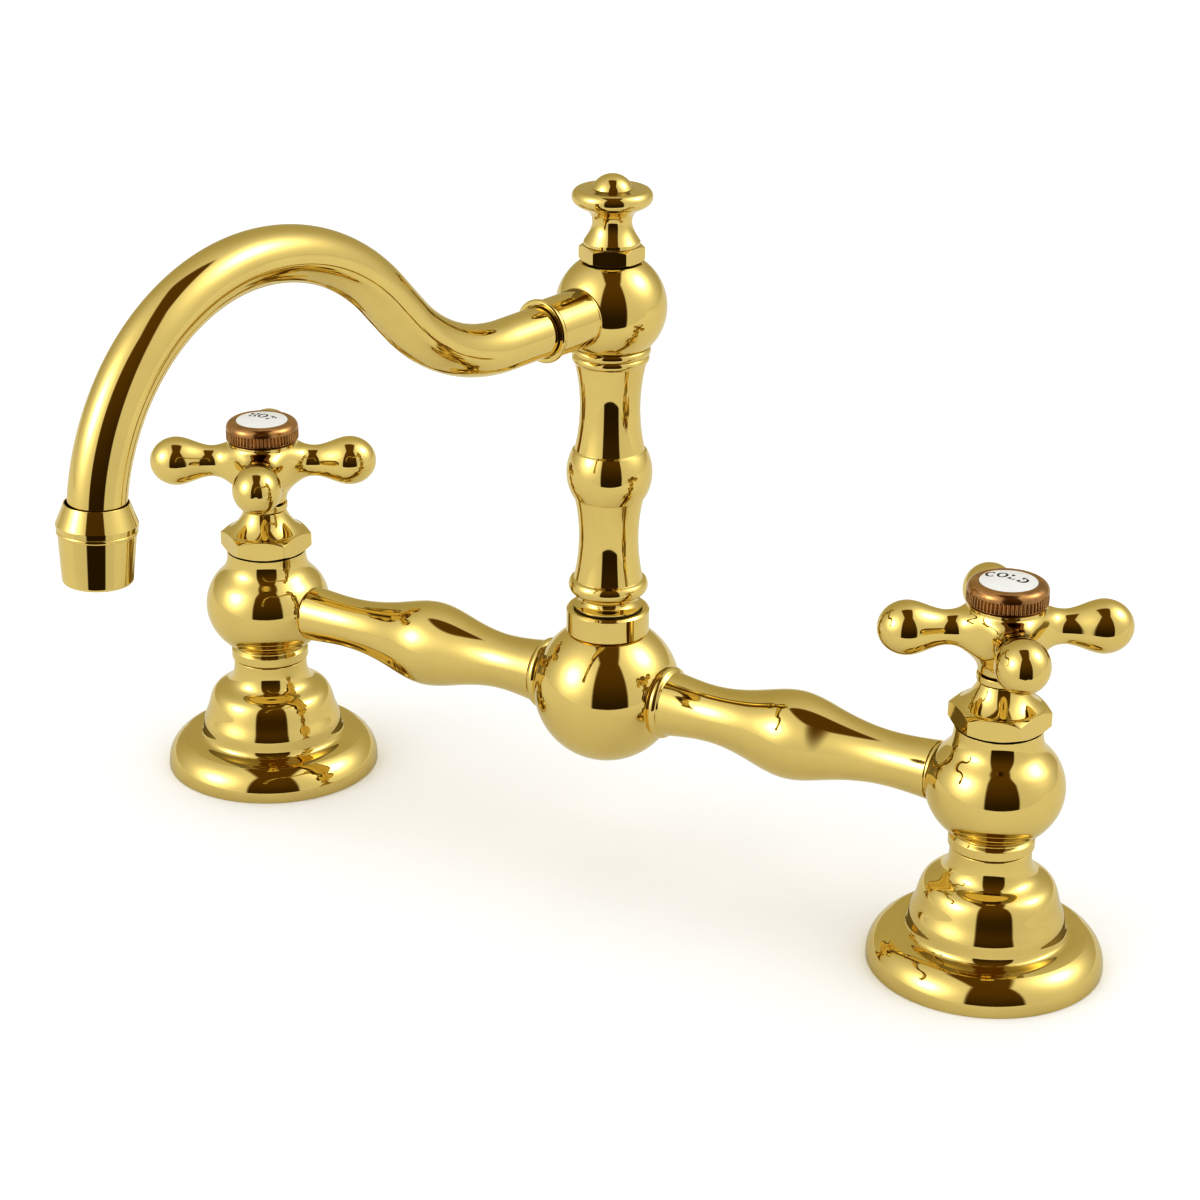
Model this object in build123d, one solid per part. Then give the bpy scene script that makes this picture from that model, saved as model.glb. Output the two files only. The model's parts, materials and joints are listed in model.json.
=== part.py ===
from build123d import *
import os
from math import asin, cos, degrees, hypot, radians, sin, sqrt, tan

# Bridge bathroom faucet, in millimetres.
# +Z is up from the deck, +X runs from the hot valve to the cold valve, and the
# user stands on the -Y side. The origin lies on the deck, midway between the
# two inlets and under the axis of the column.

# Overall layout
centre_distance = 203.2
bridge_height = 44.5
head_height = 140.1
spout_bearing = 10.0
handle_bearing = 33.0

# Clearances
running_clearance = 0.05
fit_clearance = 0.03
face_gap = 0.3
film_gap = 0.02
shadow_gap = 0.4

# Nuts
nut_chamfer_angle = 30.0

# Base flange, a spun shell
flange_radius = 27.2
flange_wall = 2.2
flange_crown_drop = 0.6
flange_rim_height = 2.6
roll_radius = 24.9
roll_height = 8.6
dome_radius = 17.9
dome_height = 15.0
dome_top_radius = 13.6
dome_top_height = 22.0
flange_neck_radius = 9.35
flange_neck_length = 2.3
roll_bow = 0.55
flange_hollow_bow = -0.88
dome_bow = 0.83
flange_shoulder_bow = -1.0

# Deck gasket, a rubber ring under the flange
gasket_inner_radius = 19.5
gasket_thickness = 2.0

# Inlet coupling, the threaded sleeve inside the flange
coupling_radius = 12.5
coupling_flats = 22.0
coupling_height = 18.0
inlet_radius = 9.3
inlet_length = 12.0
coupling_web = 1.6

# Valve body
shank_radius = 8.25
shank_bore_radius = 5.5
valve_collar_radius = 9.85
valve_collar_height = 3.2
valve_collar_chamfer = 0.9
valve_collar_drop = 11.3
valve_ball_radius = 15.85
valve_ball_half_height = 13.8
ball_shoulder_rise = 8.3
valve_neck_radius = 10.05
valve_neck_rise = 14.8
neck_blend_length = 5.3
neck_blend_bow = -0.77
side_boss_radius = 6.6
side_boss_reach = 14.8
spot_face_margin = 1.0
cartridge_bore_radius = 8.0
cartridge_floor_drop = 8.5

# Cartridge inside the valve
cartridge_length = 18.0
disc_bore_radius = 6.5
disc_bore_length = 13.6
seat_seal_thickness = 1.6
seat_seal_hole_radius = 4.6
disc_thickness = 2.0
disc_port_radius = 4.3
disc_web = 2.4
window_width = 8.0
window_height = 5.0
seal_section = 1.5
seal_squeeze_room = 0.4

# Stem
stem_radius = 4.0
carrier_width = 3.2
carrier_height = 2.4
carrier_engagement = 0.8
carrier_neck_radius = 3.2
thrust_flange_radius = 6.3
thrust_flange_thickness = 2.0
stem_square = 5.6
stem_square_start = 2.9
screw_radius = 2.0
screw_depth = 7.0

# Bonnet, the hexagonal cap nut with its hollow-sided top
bonnet_flats = 20.2
bonnet_hex_height = 4.9
bonnet_thread_radius = 7.95
bonnet_hat_radius = 9.9
bonnet_hat_height = 5.7
bonnet_top_radius = 5.3
bonnet_hat_bow = -0.71
hot_bonnet_turn = 29.4
cold_bonnet_turn = 16.0

# Cross handle
handle_foot_radius = 5.75
handle_foot_height = 1.6
handle_waist_radius = 5.55
handle_waist_rise = 0.3
hub_radius = 8.9
hub_height = 18.5
hub_shoulder_drop = 2.1
hub_flare_bow = 0.1
arm_height = 12.6
arm_reach = 28.5
knob_radius = 6.15
knob_length = 6.7
arm_neck_radius = 3.95
arm_neck_reach = 13.0
arm_pear_rise = 0.2
arm_root_radius = 5.2
arm_root_reach = 8.0
arm_root_bow = 0.24
hub_recess_radius = 6.5
hub_recess_depth = 2.8
hub_web = 1.6

# Handle screw
screw_head_radius = 3.6
screw_head_height = 2.1
screw_slot_width = 0.9
screw_slot_depth = 1.0
screw_head_chamfer = 0.4

# Index ring and its porcelain button
ring_radius = 9.1
ring_height = 4.95
ring_band_height = 3.05
ring_rim_radius = 7.1
ring_shoulder_bow = 0.41
ring_spigot_length = 2.4
ring_bore_radius = 4.5
ring_foot = 0.25
knurl_count = 60
knurl_depth = 0.28
knurl_start = 0.35
knurl_length = 2.3
button_radius = 6.5
button_recess = 2.0
button_edge = 2.0
button_crown = 0.45

# Bridge ball
bridge_ball_radius = 17.7
ball_face_reach = 15.6
ball_seat_rise = 15.4
chamber_radius = 6.6
chamber_drop = 7.5
chamber_rise = 5.0
socket_depth = 5.6

# Bridge arm
arm_bore_radius = 4.0
arm_spigot_radius = 5.55
arm_bead_radius = 8.75
arm_bead_width = 2.4
arm_bead_fall = 0.7
arm_bead_groove = 0.3
arm_flare_radius = 7.75
arm_inner_waist_radius = 6.75
arm_inner_waist_reach = 30.0
olive_radius = 10.52
olive_reach = 50.9
olive_shoulder_radius = 8.4
olive_shoulder_offset = 10.6
arm_outer_waist_radius = 6.38
arm_outer_waist_reach = 74.0
arm_end_radius = 6.95
valve_spigot_length = 6.2
arm_seal_section = 1.2

# Column collar, the gland nut that holds the swivelling column
collar_radius = 9.9
collar_height = 5.9
collar_chamfer = 0.5
collar_thread_radius = 8.6
collar_thread_length = 3.4
bush_wall = 1.1
bush_shoulder = 0.6

# Spout column, from the swivel up to the head
column_bore_radius = 4.5
column_spigot_radius = 6.5
column_neck_radius = 7.7
column_neck_height = 1.6
column_neck_bow = -0.36
lower_bead_radius = 9.45
lower_bead_rise = 5.5
lower_bead_half = 1.5
lower_bead_fall = 0.55
column_shoulder_radius = 8.2
lower_waist_radius = 7.05
mid_bead_radius = 10.12
mid_bead_rise = 33.7
mid_bead_half = 5.6
mid_bead_edge_radius = 8.7
upper_waist_radius = 7.04
top_bead_radius = 9.4
top_bead_half = 1.0
top_bead_fall = 0.5
small_bead_radius = 9.0
small_bead_half = 0.8
small_bead_fall = 0.3
column_groove = 0.35
head_spigot_radius = 6.0
head_spigot_length = 6.0
swivel_seal_section = 1.4
swivel_seal_pitch = 2.6
clip_thickness = 0.8
clip_groove_depth = 0.6
clip_overhang = 1.0
clip_gap = 1.6

# Spout head
head_radius = 12.9
head_seat_drop = 9.3
spout_droop = 1.5
spout_socket_radius = 6.7
spout_socket_reach = 24.6
socket_bead_radius = 7.35
socket_bead_half = 0.75
socket_stop_reach = 12.5
finial_thread_radius = 4.0

# Spout tube
tube_radius = 5.87
tube_wall = 1.0
tube_lead = 35.9
rise_radius = 42.0
rise_angle = 46.6
rise_length = 9.0
crest_radius = 48.0
fall_radius = 43.5
fall_angle = 54.0
tip_radius = 47.0
tip_angle = 33.0

# Nozzle collar and aerator
nozzle_lip_radius = 6.4
nozzle_lip_rise = 2.8
nozzle_lip_chamfer = 0.1
nozzle_radius = 8.05
nozzle_wide_drop = 1.4
nozzle_joint_drop = 3.4
nozzle_joint_radius = 7.8
nozzle_gap = 0.22
nozzle_bore_depth = 2.0
nozzle_thread_radius = 6.5
nozzle_thread_length = 2.4
housing_length = 9.7
housing_tip_radius = 6.95
housing_rim_round = 0.8
housing_mouth_radius = 5.7
housing_ledge = 1.3
housing_top_radius = 7.6
housing_bead_length = 0.9
housing_bead_bow = 0.23
washer_thickness = 0.9
washer_hole_radius = 4.4
screen_thickness = 0.3
insert_ring_count = 2
insert_hole_radius = 0.75
insert_hole_pitch = 2.05

# Finial
finial_flats = 13.2
finial_hex_height = 3.5
finial_seat_rise = 10.6
finial_washer_thickness = 0.5
finial_washer_radius = 6.3
finial_base_radius = 6.5
finial_base_height = 0.9
finial_base_chamfer = 0.3
finial_waist_radius = 4.65
finial_waist_rise = 4.8
finial_foot_bow = -0.42
finial_flare_bow = -0.69
finial_flare_radius = 6.7
finial_flare_drop = 2.2
finial_disc_radius = 9.3
finial_disc_edge_radius = 8.4
finial_disc_half = 1.0
finial_disc_rise = 11.4
finial_button_radius = 4.7
finial_button_height = 3.3
finial_button_rise = 1.65
finial_thread_length = 4.0
finial_stud_radius = 2.5
finial_stud_length = 5.0
finial_turn = 26.0

# Heights and reaches that follow from the sizes above
side_reach = centre_distance / 2
valve_collar_top = bridge_height - valve_collar_drop
valve_collar_bottom = valve_collar_top - valve_collar_height
flange_top = valve_collar_bottom - shadow_gap
shank_bottom = inlet_length + coupling_web
valve_neck_top = bridge_height + valve_neck_rise
cartridge_floor = bridge_height - cartridge_floor_drop
cartridge_top = cartridge_floor + cartridge_length
bonnet_seat = valve_neck_top + shadow_gap
bonnet_hex_top = bonnet_seat + bonnet_hex_height
bonnet_top = bonnet_hex_top + bonnet_hat_height
handle_foot = bonnet_top + face_gap
handle_top = handle_foot + hub_height
arm_axis_height = handle_foot + arm_height
socket_top = handle_top - hub_recess_depth - hub_web
recess_floor = handle_top - hub_recess_depth
stem_top = socket_top - running_clearance
guide_radius = stem_radius + running_clearance
arm_face_reach = side_reach - side_boss_reach
bridge_seat = bridge_height + ball_seat_rise
collar_top = bridge_seat + collar_height
column_foot = collar_top + face_gap
head_seat = head_height - head_seat_drop
finial_seat = head_height + finial_seat_rise
finial_base = finial_seat + finial_washer_thickness
finial_hex_top = finial_base + finial_hex_height
tube_bore_radius = tube_radius - tube_wall

os.makedirs("parts", exist_ok=True)


def outline(start, *steps):
    """A closed flat outline in the radius and height plane.

    A step is a point, reached by a straight line, or a pair of points, reached
    by an arc through the first of them, or a ready curve.
    """
    edges = []
    here = start
    for step in steps:
        if isinstance(step, Edge):
            edges.append(step)
            here = tuple(step @ 1)[:2]
            continue
        if isinstance(step[0], tuple):
            edges.append(ThreePointArc(here, step[0], step[1]))
            here = step[1]
        else:
            edges.append(Line(here, step))
            here = step
    edges.append(Line(here, start))
    return make_face(edges)


def bowed(start, end, bow):
    """An arc step to the end point, which bows out to the right of its way."""
    across = end[0] - start[0]
    along = end[1] - start[1]
    span = hypot(across, along)
    middle = (
        (start[0] + end[0]) / 2 + bow * along / span,
        (start[1] + end[1]) / 2 - bow * across / span,
    )
    return (middle, end)


def turned(start, *steps):
    """A solid of revolution about Z from its outline."""
    return revolve(Plane.XZ * outline(start, *steps), axis=Axis.Z)


def tube_ring(outer, inner, bottom, top):
    """A plain ring about Z."""
    return turned((inner, bottom), (outer, bottom), (outer, top), (inner, top))


def rod(radius, bottom, top):
    """A plain cylinder about Z."""
    return Pos(0, 0, (bottom + top) / 2) * Cylinder(radius, top - bottom)


def along_x(shape, direction=1):
    """Turn a shape built about Z so that its height runs out along X."""
    return Rot(0, 90 * direction, 0) * shape


def seal_ring(outer, section, height):
    """An O-ring about Z, given by its outer radius."""
    return Pos(0, 0, height) * Torus(outer - section / 2, section / 2)


def groove(outer, section, height):
    """The square groove that an O-ring lies in."""
    half = section / 2 + seal_squeeze_room / 2
    return tube_ring(outer + section, outer - section, height - half, height + half)


def hexagon(flats, bottom, top):
    """A hexagonal nut blank about Z with turned chamfers."""
    corner = flats / sqrt(3)
    rise = (corner - flats / 2) * tan(radians(nut_chamfer_angle))
    limit = turned(
        (0, bottom),
        (flats / 2, bottom),
        (corner, bottom + rise),
        (corner, top - rise),
        (flats / 2, top),
        (0, top),
    )
    blank = extrude(RegularPolygon(corner, 6), top - bottom)
    return (Pos(0, 0, bottom) * blank) & limit


def cap_middle(radius, foot, rise):
    """The halfway point of a spherical cap's outline."""
    sphere = (radius ** 2 + rise ** 2) / (2 * rise)
    half = asin(radius / sphere) / 2
    return (sphere * sin(half), foot + rise - sphere * (1 - cos(half)))


def save(shape, name):
    """Write one piece to its own file."""
    export_step(shape, os.path.join("parts", name + ".step"))


def bell_steps(shrink):
    """The rising outline of the flange, drawn in by a wall thickness."""
    rim = (flange_radius - shrink, flange_rim_height)
    roll = (roll_radius - shrink, roll_height)
    hollow = (dome_radius - shrink, dome_height)
    dome = (dome_top_radius - shrink, dome_top_height)
    return [
        rim,
        bowed(rim, roll, roll_bow),
        bowed(roll, hollow, flange_hollow_bow),
        bowed(hollow, dome, dome_bow),
    ]


def base_flange():
    """The bell-shaped cover between the deck and the valve."""
    dome_top = (dome_top_radius, dome_top_height)
    neck_foot = (flange_neck_radius, flange_top - flange_neck_length)
    outside = turned(
        (0, 0),
        (flange_radius, 0),
        *bell_steps(0),
        bowed(dome_top, neck_foot, flange_shoulder_bow),
        (flange_neck_radius, flange_top),
        (0, flange_top),
    )
    inside = turned(
        (0, -flange_rim_height),
        (flange_radius - flange_wall, -flange_rim_height),
        *bell_steps(flange_wall),
        (0, dome_top_height),
    )
    neck_bore = rod(shank_radius + fit_clearance, 0, flange_top + 1)
    return outside - Pos(0, 0, -flange_crown_drop) * inside - neck_bore


def deck_gasket():
    """The rubber ring that seals the flange to the deck."""
    edge = flange_radius - flange_wall - fit_clearance
    return tube_ring(edge, gasket_inner_radius, 0, gasket_thickness)


def inlet_coupling():
    """The threaded sleeve that joins the valve shank to the supply tail."""
    body = rod(coupling_radius, 0, coupling_height)
    flats = Box(coupling_flats, 3 * coupling_radius, 3 * coupling_height)
    inlet = rod(inlet_radius, 0, inlet_length)
    web_bore = rod(shank_bore_radius, 0, coupling_height)
    shank_socket = rod(shank_radius + fit_clearance, shank_bottom, coupling_height)
    return (body & flats) - inlet - web_bore - shank_socket


def valve_body(side):
    """The ball-shaped valve casting with its shank and side socket."""
    ball_foot = -valve_collar_drop
    foot_share = sqrt(1 - (ball_foot / valve_ball_half_height) ** 2)
    shoulder_share = sqrt(1 - (ball_shoulder_rise / valve_ball_half_height) ** 2)
    start_angle = degrees(asin(ball_foot / valve_ball_half_height))
    end_angle = degrees(asin(ball_shoulder_rise / valve_ball_half_height))
    ball = EllipticalCenterArc(
        (0, bridge_height), valve_ball_radius, valve_ball_half_height,
        start_angle, arc_size=end_angle - start_angle,
    )
    shoulder = (valve_ball_radius * shoulder_share, bridge_height + ball_shoulder_rise)
    neck_foot = (valve_neck_radius, shoulder[1] + neck_blend_length)
    casting = turned(
        (0, shank_bottom),
        (shank_radius, shank_bottom),
        (shank_radius, valve_collar_bottom),
        (valve_collar_radius, valve_collar_bottom),
        (valve_collar_radius, valve_collar_top - valve_collar_chamfer),
        (valve_ball_radius * foot_share, valve_collar_top),
        ball,
        bowed(shoulder, neck_foot, neck_blend_bow),
        (valve_neck_radius, valve_neck_top),
        (0, valve_neck_top),
    )
    boss = rod(side_boss_radius, 0, side_boss_reach)
    casting += Pos(0, 0, bridge_height) * along_x(boss, -side)
    cavity = rod(cartridge_bore_radius, cartridge_floor, valve_neck_top + 1)
    inlet = rod(shank_bore_radius, shank_bottom - 1, cartridge_floor + 1)
    socket_bottom = side_boss_reach - valve_spigot_length - fit_clearance
    socket = rod(arm_spigot_radius + fit_clearance, socket_bottom, side_boss_reach + 1)
    spot_face = rod(arm_end_radius + spot_face_margin, side_boss_reach, 2 * valve_ball_radius)
    outlet = socket + rod(arm_bore_radius, 0, side_boss_reach) + spot_face
    return casting - cavity - inlet - Pos(0, 0, bridge_height) * along_x(outlet, -side)


def cartridge_body():
    """The brass sleeve that holds the ceramic discs and guides the stem."""
    outer = cartridge_bore_radius - fit_clearance
    sleeve = rod(outer, cartridge_floor, cartridge_top)
    disc_bore = rod(disc_bore_radius, cartridge_floor, cartridge_floor + disc_bore_length)
    guide = rod(guide_radius, cartridge_floor, cartridge_top)
    window_centre = Pos(0, 0, bridge_height)
    windows = window_centre * Box(4 * outer, window_width, window_height)
    seal_height = (cartridge_floor + disc_bore_length + cartridge_top) / 2
    seat = groove(outer, seal_section, seal_height)
    return sleeve - disc_bore - guide - windows - seat


def cartridge_seal():
    """The O-ring round the cartridge body."""
    seal_height = (cartridge_floor + disc_bore_length + cartridge_top) / 2
    return seal_ring(cartridge_bore_radius - film_gap, seal_section, seal_height)


def seat_seal():
    """The rubber ring that presses the ceramic discs together."""
    outer = disc_bore_radius - running_clearance
    top = cartridge_floor + seat_seal_thickness
    return tube_ring(outer, seat_seal_hole_radius, cartridge_floor, top)


def ported_disc(bottom):
    """A ceramic disc with two opposite ports, a web between them."""
    outer = disc_bore_radius - running_clearance
    disc = rod(outer, bottom, bottom + disc_thickness)
    ports = rod(disc_port_radius, bottom - 1, bottom + disc_thickness + 1)
    return disc - (ports - Pos(0, 0, bottom) * Box(disc_web, 3 * outer, 4 * disc_thickness))


def fixed_disc():
    """The lower ceramic disc, which stays still."""
    return ported_disc(cartridge_floor + seat_seal_thickness)


def turning_bottom():
    """Height of the face where the two ceramic discs meet."""
    return cartridge_floor + seat_seal_thickness + disc_thickness + film_gap


def turning_disc():
    """The upper ceramic disc, with the slot that the stem drives."""
    bottom = turning_bottom()
    slot_bottom = bottom + disc_thickness - carrier_engagement
    slot_width = carrier_width + 2 * running_clearance
    slot = Pos(0, 0, slot_bottom + disc_thickness) * Box(
        4 * disc_bore_radius, slot_width, 2 * disc_thickness
    )
    return Rot(0, 0, 90) * (ported_disc(bottom) - slot)


def stem():
    """The turned stem: carrier bar, thrust flange, shaft and square end."""
    foot = turning_bottom() + disc_thickness - carrier_engagement + running_clearance
    bar_top = foot + carrier_height
    bar_length = 2 * (disc_bore_radius - 4 * running_clearance)
    bar = Pos(0, 0, (foot + bar_top) / 2) * Box(
        carrier_width, bar_length, bar_top - foot
    )
    bar = bar & rod(disc_bore_radius - 2 * running_clearance, foot, bar_top)
    flange_top_height = cartridge_floor + disc_bore_length - running_clearance
    flange_bottom = flange_top_height - thrust_flange_thickness
    square_start = bonnet_top + face_gap + stem_square_start
    shaft = turned(
        (0, bar_top),
        (carrier_neck_radius, bar_top),
        (carrier_neck_radius, flange_bottom),
        (thrust_flange_radius, flange_bottom),
        (thrust_flange_radius, flange_top_height),
        (stem_radius, flange_top_height),
        (stem_radius, square_start),
        (0, square_start),
    )
    square_height = stem_top - square_start
    square = Box(stem_square, stem_square, square_height)
    square = Pos(0, 0, square_start + square_height / 2) * square
    square = Rot(0, 0, handle_bearing) * (square & rod(stem_radius, square_start, stem_top))
    screw_hole = rod(screw_radius + fit_clearance, stem_top - screw_depth - 1, stem_top + 1)
    seal_height = stem_seal_height()
    seat = groove(stem_radius, seal_section, seal_height)
    return shaft + bar + square - screw_hole - seat


def stem_seal_height():
    """Height of the O-ring on the stem, in the guide of the cartridge."""
    return (cartridge_floor + disc_bore_length + cartridge_top) / 2


def stem_seal():
    """The O-ring on the stem."""
    return seal_ring(stem_radius + film_gap, seal_section, stem_seal_height())


def bonnet(turn):
    """The hexagonal cap nut that clamps the cartridge."""
    nut = hexagon(bonnet_flats, bonnet_seat, bonnet_hex_top)
    hat_foot = (bonnet_hat_radius, bonnet_hex_top)
    hat_top = (bonnet_top_radius, bonnet_top)
    hat = turned(
        (0, cartridge_top + fit_clearance),
        (bonnet_thread_radius, cartridge_top + fit_clearance),
        (bonnet_thread_radius, bonnet_seat),
        (bonnet_hat_radius, bonnet_seat),
        hat_foot,
        bowed(hat_foot, hat_top, bonnet_hat_bow),
        (0, bonnet_top),
    )
    bore = rod(stem_radius + face_gap, cartridge_top - 1, bonnet_top + 1)
    return Rot(0, 0, turn) * nut + hat - bore


def handle_arm():
    """One pear-shaped arm of the cross handle, along X."""
    knob_centre = arm_reach - knob_length
    tip = EllipticalCenterArc((0, knob_centre), knob_radius, knob_length, 90, arc_size=-90)
    neck = Spline(
        (knob_radius, knob_centre),
        ((knob_radius + arm_neck_radius) / 2,
         (knob_centre + arm_neck_reach) / 2 + arm_pear_rise),
        (arm_neck_radius, arm_neck_reach),
        tangents=((0, -1), (0, -1)),
    )
    neck_foot = (arm_neck_radius, arm_neck_reach)
    root = (arm_root_radius, arm_root_reach)
    arm = turned(
        (0, arm_reach),
        tip,
        neck,
        bowed(neck_foot, root, arm_root_bow),
        (arm_root_radius, 0),
        (0, 0),
    )
    return Pos(0, 0, arm_axis_height) * along_x(arm)


def handle():
    """The cross handle: a waisted hub with four arms."""
    foot_top = handle_foot + handle_foot_height
    waist = (handle_waist_radius, foot_top + handle_waist_rise)
    shoulder = (hub_radius, arm_axis_height - hub_shoulder_drop)
    hub = turned(
        (0, handle_foot),
        (handle_foot_radius, handle_foot),
        (handle_foot_radius, foot_top),
        waist,
        bowed(waist, shoulder, hub_flare_bow),
        (hub_radius, handle_top),
        (0, handle_top),
    )
    body = hub + [Rot(0, 0, 90 * turn) * handle_arm() for turn in range(4)]
    clearance_bore = rod(stem_radius + 2 * running_clearance, handle_foot - 1, socket_top)
    lead = rod(stem_radius + 2 * running_clearance, handle_foot - 1,
               handle_foot + stem_square_start)
    across = stem_square + 2 * running_clearance
    square = Pos(0, 0, (handle_foot + socket_top) / 2) * Box(
        across, across, socket_top - handle_foot
    )
    recess = rod(hub_recess_radius, recess_floor, handle_top + 1)
    screw_hole = rod(screw_radius + 2 * running_clearance, socket_top - 1, recess_floor + 1)
    body = body - lead - (square & clearance_bore) - recess - screw_hole
    return Rot(0, 0, handle_bearing) * body


def handle_screw():
    """The slotted screw that holds the handle on the stem."""
    tip = stem_top - screw_depth
    top = recess_floor + screw_head_height
    screw = turned(
        (0, tip),
        (screw_radius, tip),
        (screw_radius, recess_floor),
        (screw_head_radius, recess_floor),
        (screw_head_radius, top - screw_head_chamfer),
        (screw_head_radius - screw_head_chamfer, top),
        (0, top),
    )
    slot = Pos(0, 0, top) * Box(3 * screw_head_radius, screw_slot_width, 2 * screw_slot_depth)
    return screw - slot


def index_ring():
    """The knurled ring that covers the handle screw."""
    floor = handle_top + ring_height - button_recess
    top = handle_top + ring_height
    seat_radius = button_radius + fit_clearance
    band_top = (ring_radius, handle_top + ring_band_height)
    body = turned(
        (ring_bore_radius, handle_top - ring_spigot_length),
        (hub_recess_radius - fit_clearance, handle_top - ring_spigot_length),
        (hub_recess_radius - fit_clearance, handle_top),
        (ring_radius - ring_foot, handle_top),
        (ring_radius, handle_top + ring_foot),
        band_top,
        bowed(band_top, (ring_rim_radius, top), ring_shoulder_bow),
        (seat_radius, top),
        (seat_radius, floor),
        (ring_bore_radius, floor),
    )
    width = 2 * knurl_depth
    tooth = Rot(0, 0, 45) * Box(width, width, knurl_length)
    height = handle_top + knurl_start + knurl_length / 2
    teeth = [Pos(0, 0, height) * place * tooth
             for place in PolarLocations(ring_radius, knurl_count)]
    return body - teeth


def index_button():
    """The domed porcelain button set in the ring."""
    floor = handle_top + ring_height - button_recess
    edge = floor + button_edge
    middle = cap_middle(button_radius, edge, button_crown)
    return turned(
        (0, floor),
        (button_radius, floor),
        (button_radius, edge),
        (middle, (0, edge + button_crown)),
    )


def bridge_ball():
    """The hollow ball that joins the two arms and carries the column."""
    ball = Sphere(bridge_ball_radius)
    seat_face = rod(2 * bridge_ball_radius, ball_seat_rise, 2 * bridge_ball_radius)
    side_face = rod(2 * bridge_ball_radius, ball_face_reach, 2 * bridge_ball_radius)
    ball = ball - seat_face - along_x(side_face, 1) - along_x(side_face, -1)
    chamber = rod(chamber_radius, -chamber_drop, chamber_rise)
    seal_bore_radius = column_spigot_radius + running_clearance
    seal_bore = rod(seal_bore_radius, 0, ball_seat_rise + 1)
    thread_floor = swivel_floor() - bridge_height
    thread_bore = rod(collar_thread_radius + fit_clearance, thread_floor, ball_seat_rise + 1)
    socket = rod(arm_spigot_radius + fit_clearance,
                 ball_face_reach - socket_depth - fit_clearance, 2 * bridge_ball_radius)
    waterway = socket + rod(arm_bore_radius, 0, bridge_ball_radius)
    ball = ball - chamber - seal_bore - thread_bore
    ball = ball - along_x(waterway, 1) - along_x(waterway, -1)
    return Pos(0, 0, bridge_height) * ball


def swivel_floor():
    """Height of the floor of the threaded bore, under the retaining clip."""
    return bridge_seat - collar_thread_length - clip_gap - clip_thickness


def column_foot_height():
    """Height of the lower end of the column's spigot, in the water chamber."""
    return bridge_height + chamber_rise + running_clearance


def clip_height():
    """Height of the underside of the retaining clip."""
    return bridge_seat - collar_thread_length - running_clearance - clip_thickness


def bridge_arm(side):
    """One arm of the bridge, turned with an olive in the middle."""
    face = ball_face_reach
    bead_mid = (arm_bead_radius, face + arm_bead_width / 2)
    bead_foot = arm_bead_radius - arm_bead_fall
    flare = (arm_flare_radius, face + arm_bead_width + arm_bead_groove)
    inner_seal = face - socket_depth / 2
    outer_seal = arm_face_reach + valve_spigot_length / 2
    body = Spline(
        flare,
        (arm_inner_waist_radius, arm_inner_waist_reach),
        (olive_shoulder_radius, olive_reach - olive_shoulder_offset),
        (olive_radius, olive_reach),
        (olive_shoulder_radius, olive_reach + olive_shoulder_offset),
        (arm_outer_waist_radius, arm_outer_waist_reach),
        (arm_end_radius, arm_face_reach),
    )
    arm = turned(
        (arm_bore_radius, face - socket_depth),
        (arm_spigot_radius, face - socket_depth),
        (arm_spigot_radius, face),
        (bead_foot, face),
        (bead_mid, (bead_foot, face + arm_bead_width)),
        flare,
        body,
        (arm_spigot_radius, arm_face_reach),
        (arm_spigot_radius, arm_face_reach + valve_spigot_length),
        (arm_bore_radius, arm_face_reach + valve_spigot_length),
    )
    for height in (inner_seal, outer_seal):
        arm -= groove(arm_spigot_radius, arm_seal_section, height)
    return Pos(0, 0, bridge_height) * along_x(arm, side)


def arm_seals(side):
    """The two O-rings of one bridge arm."""
    inner_seal = ball_face_reach - socket_depth / 2
    outer_seal = arm_face_reach + valve_spigot_length / 2
    rings = [seal_ring(arm_spigot_radius + film_gap, arm_seal_section, height)
             for height in (inner_seal, outer_seal)]
    return [Pos(0, 0, bridge_height) * along_x(ring, side) for ring in rings]


def bush_outer_radius():
    """Outer radius of the swivel bush, in the bore of the column collar."""
    return column_spigot_radius + running_clearance + bush_wall


def column_collar():
    """The gland nut screwed into the bridge ball round the column."""
    bore = bush_outer_radius() + fit_clearance
    foot = bridge_seat - collar_thread_length
    return turned(
        (bore, foot),
        (collar_thread_radius, foot),
        (collar_thread_radius, bridge_seat),
        (collar_radius, bridge_seat),
        (collar_radius, collar_top - collar_chamfer),
        (collar_radius - collar_chamfer, collar_top),
        (bore, collar_top),
    )


def swivel_bush():
    """The plastic bearing bush between the collar and the column."""
    inner = column_spigot_radius + running_clearance
    foot = bridge_seat - collar_thread_length
    return tube_ring(bush_outer_radius(), inner, foot, collar_top - bush_shoulder)


def swivel_seal_heights():
    """Heights of the two O-rings on the column's spigot."""
    first = column_foot_height() + swivel_seal_section
    return [first, first + swivel_seal_pitch]


def swivel_seals():
    """The two O-rings that let the column turn without leaking."""
    outer = column_spigot_radius + film_gap
    return [seal_ring(outer, swivel_seal_section, height)
            for height in swivel_seal_heights()]


def retaining_clip():
    """The open spring clip that keeps the column in the collar."""
    bottom = clip_height()
    inner = column_spigot_radius - clip_groove_depth
    outer = column_spigot_radius + clip_overhang
    ring = tube_ring(outer, inner, bottom, bottom + clip_thickness)
    gap = Pos(0, outer, bottom) * Box(outer, 2 * outer, 4 * clip_thickness)
    return ring - gap


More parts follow.
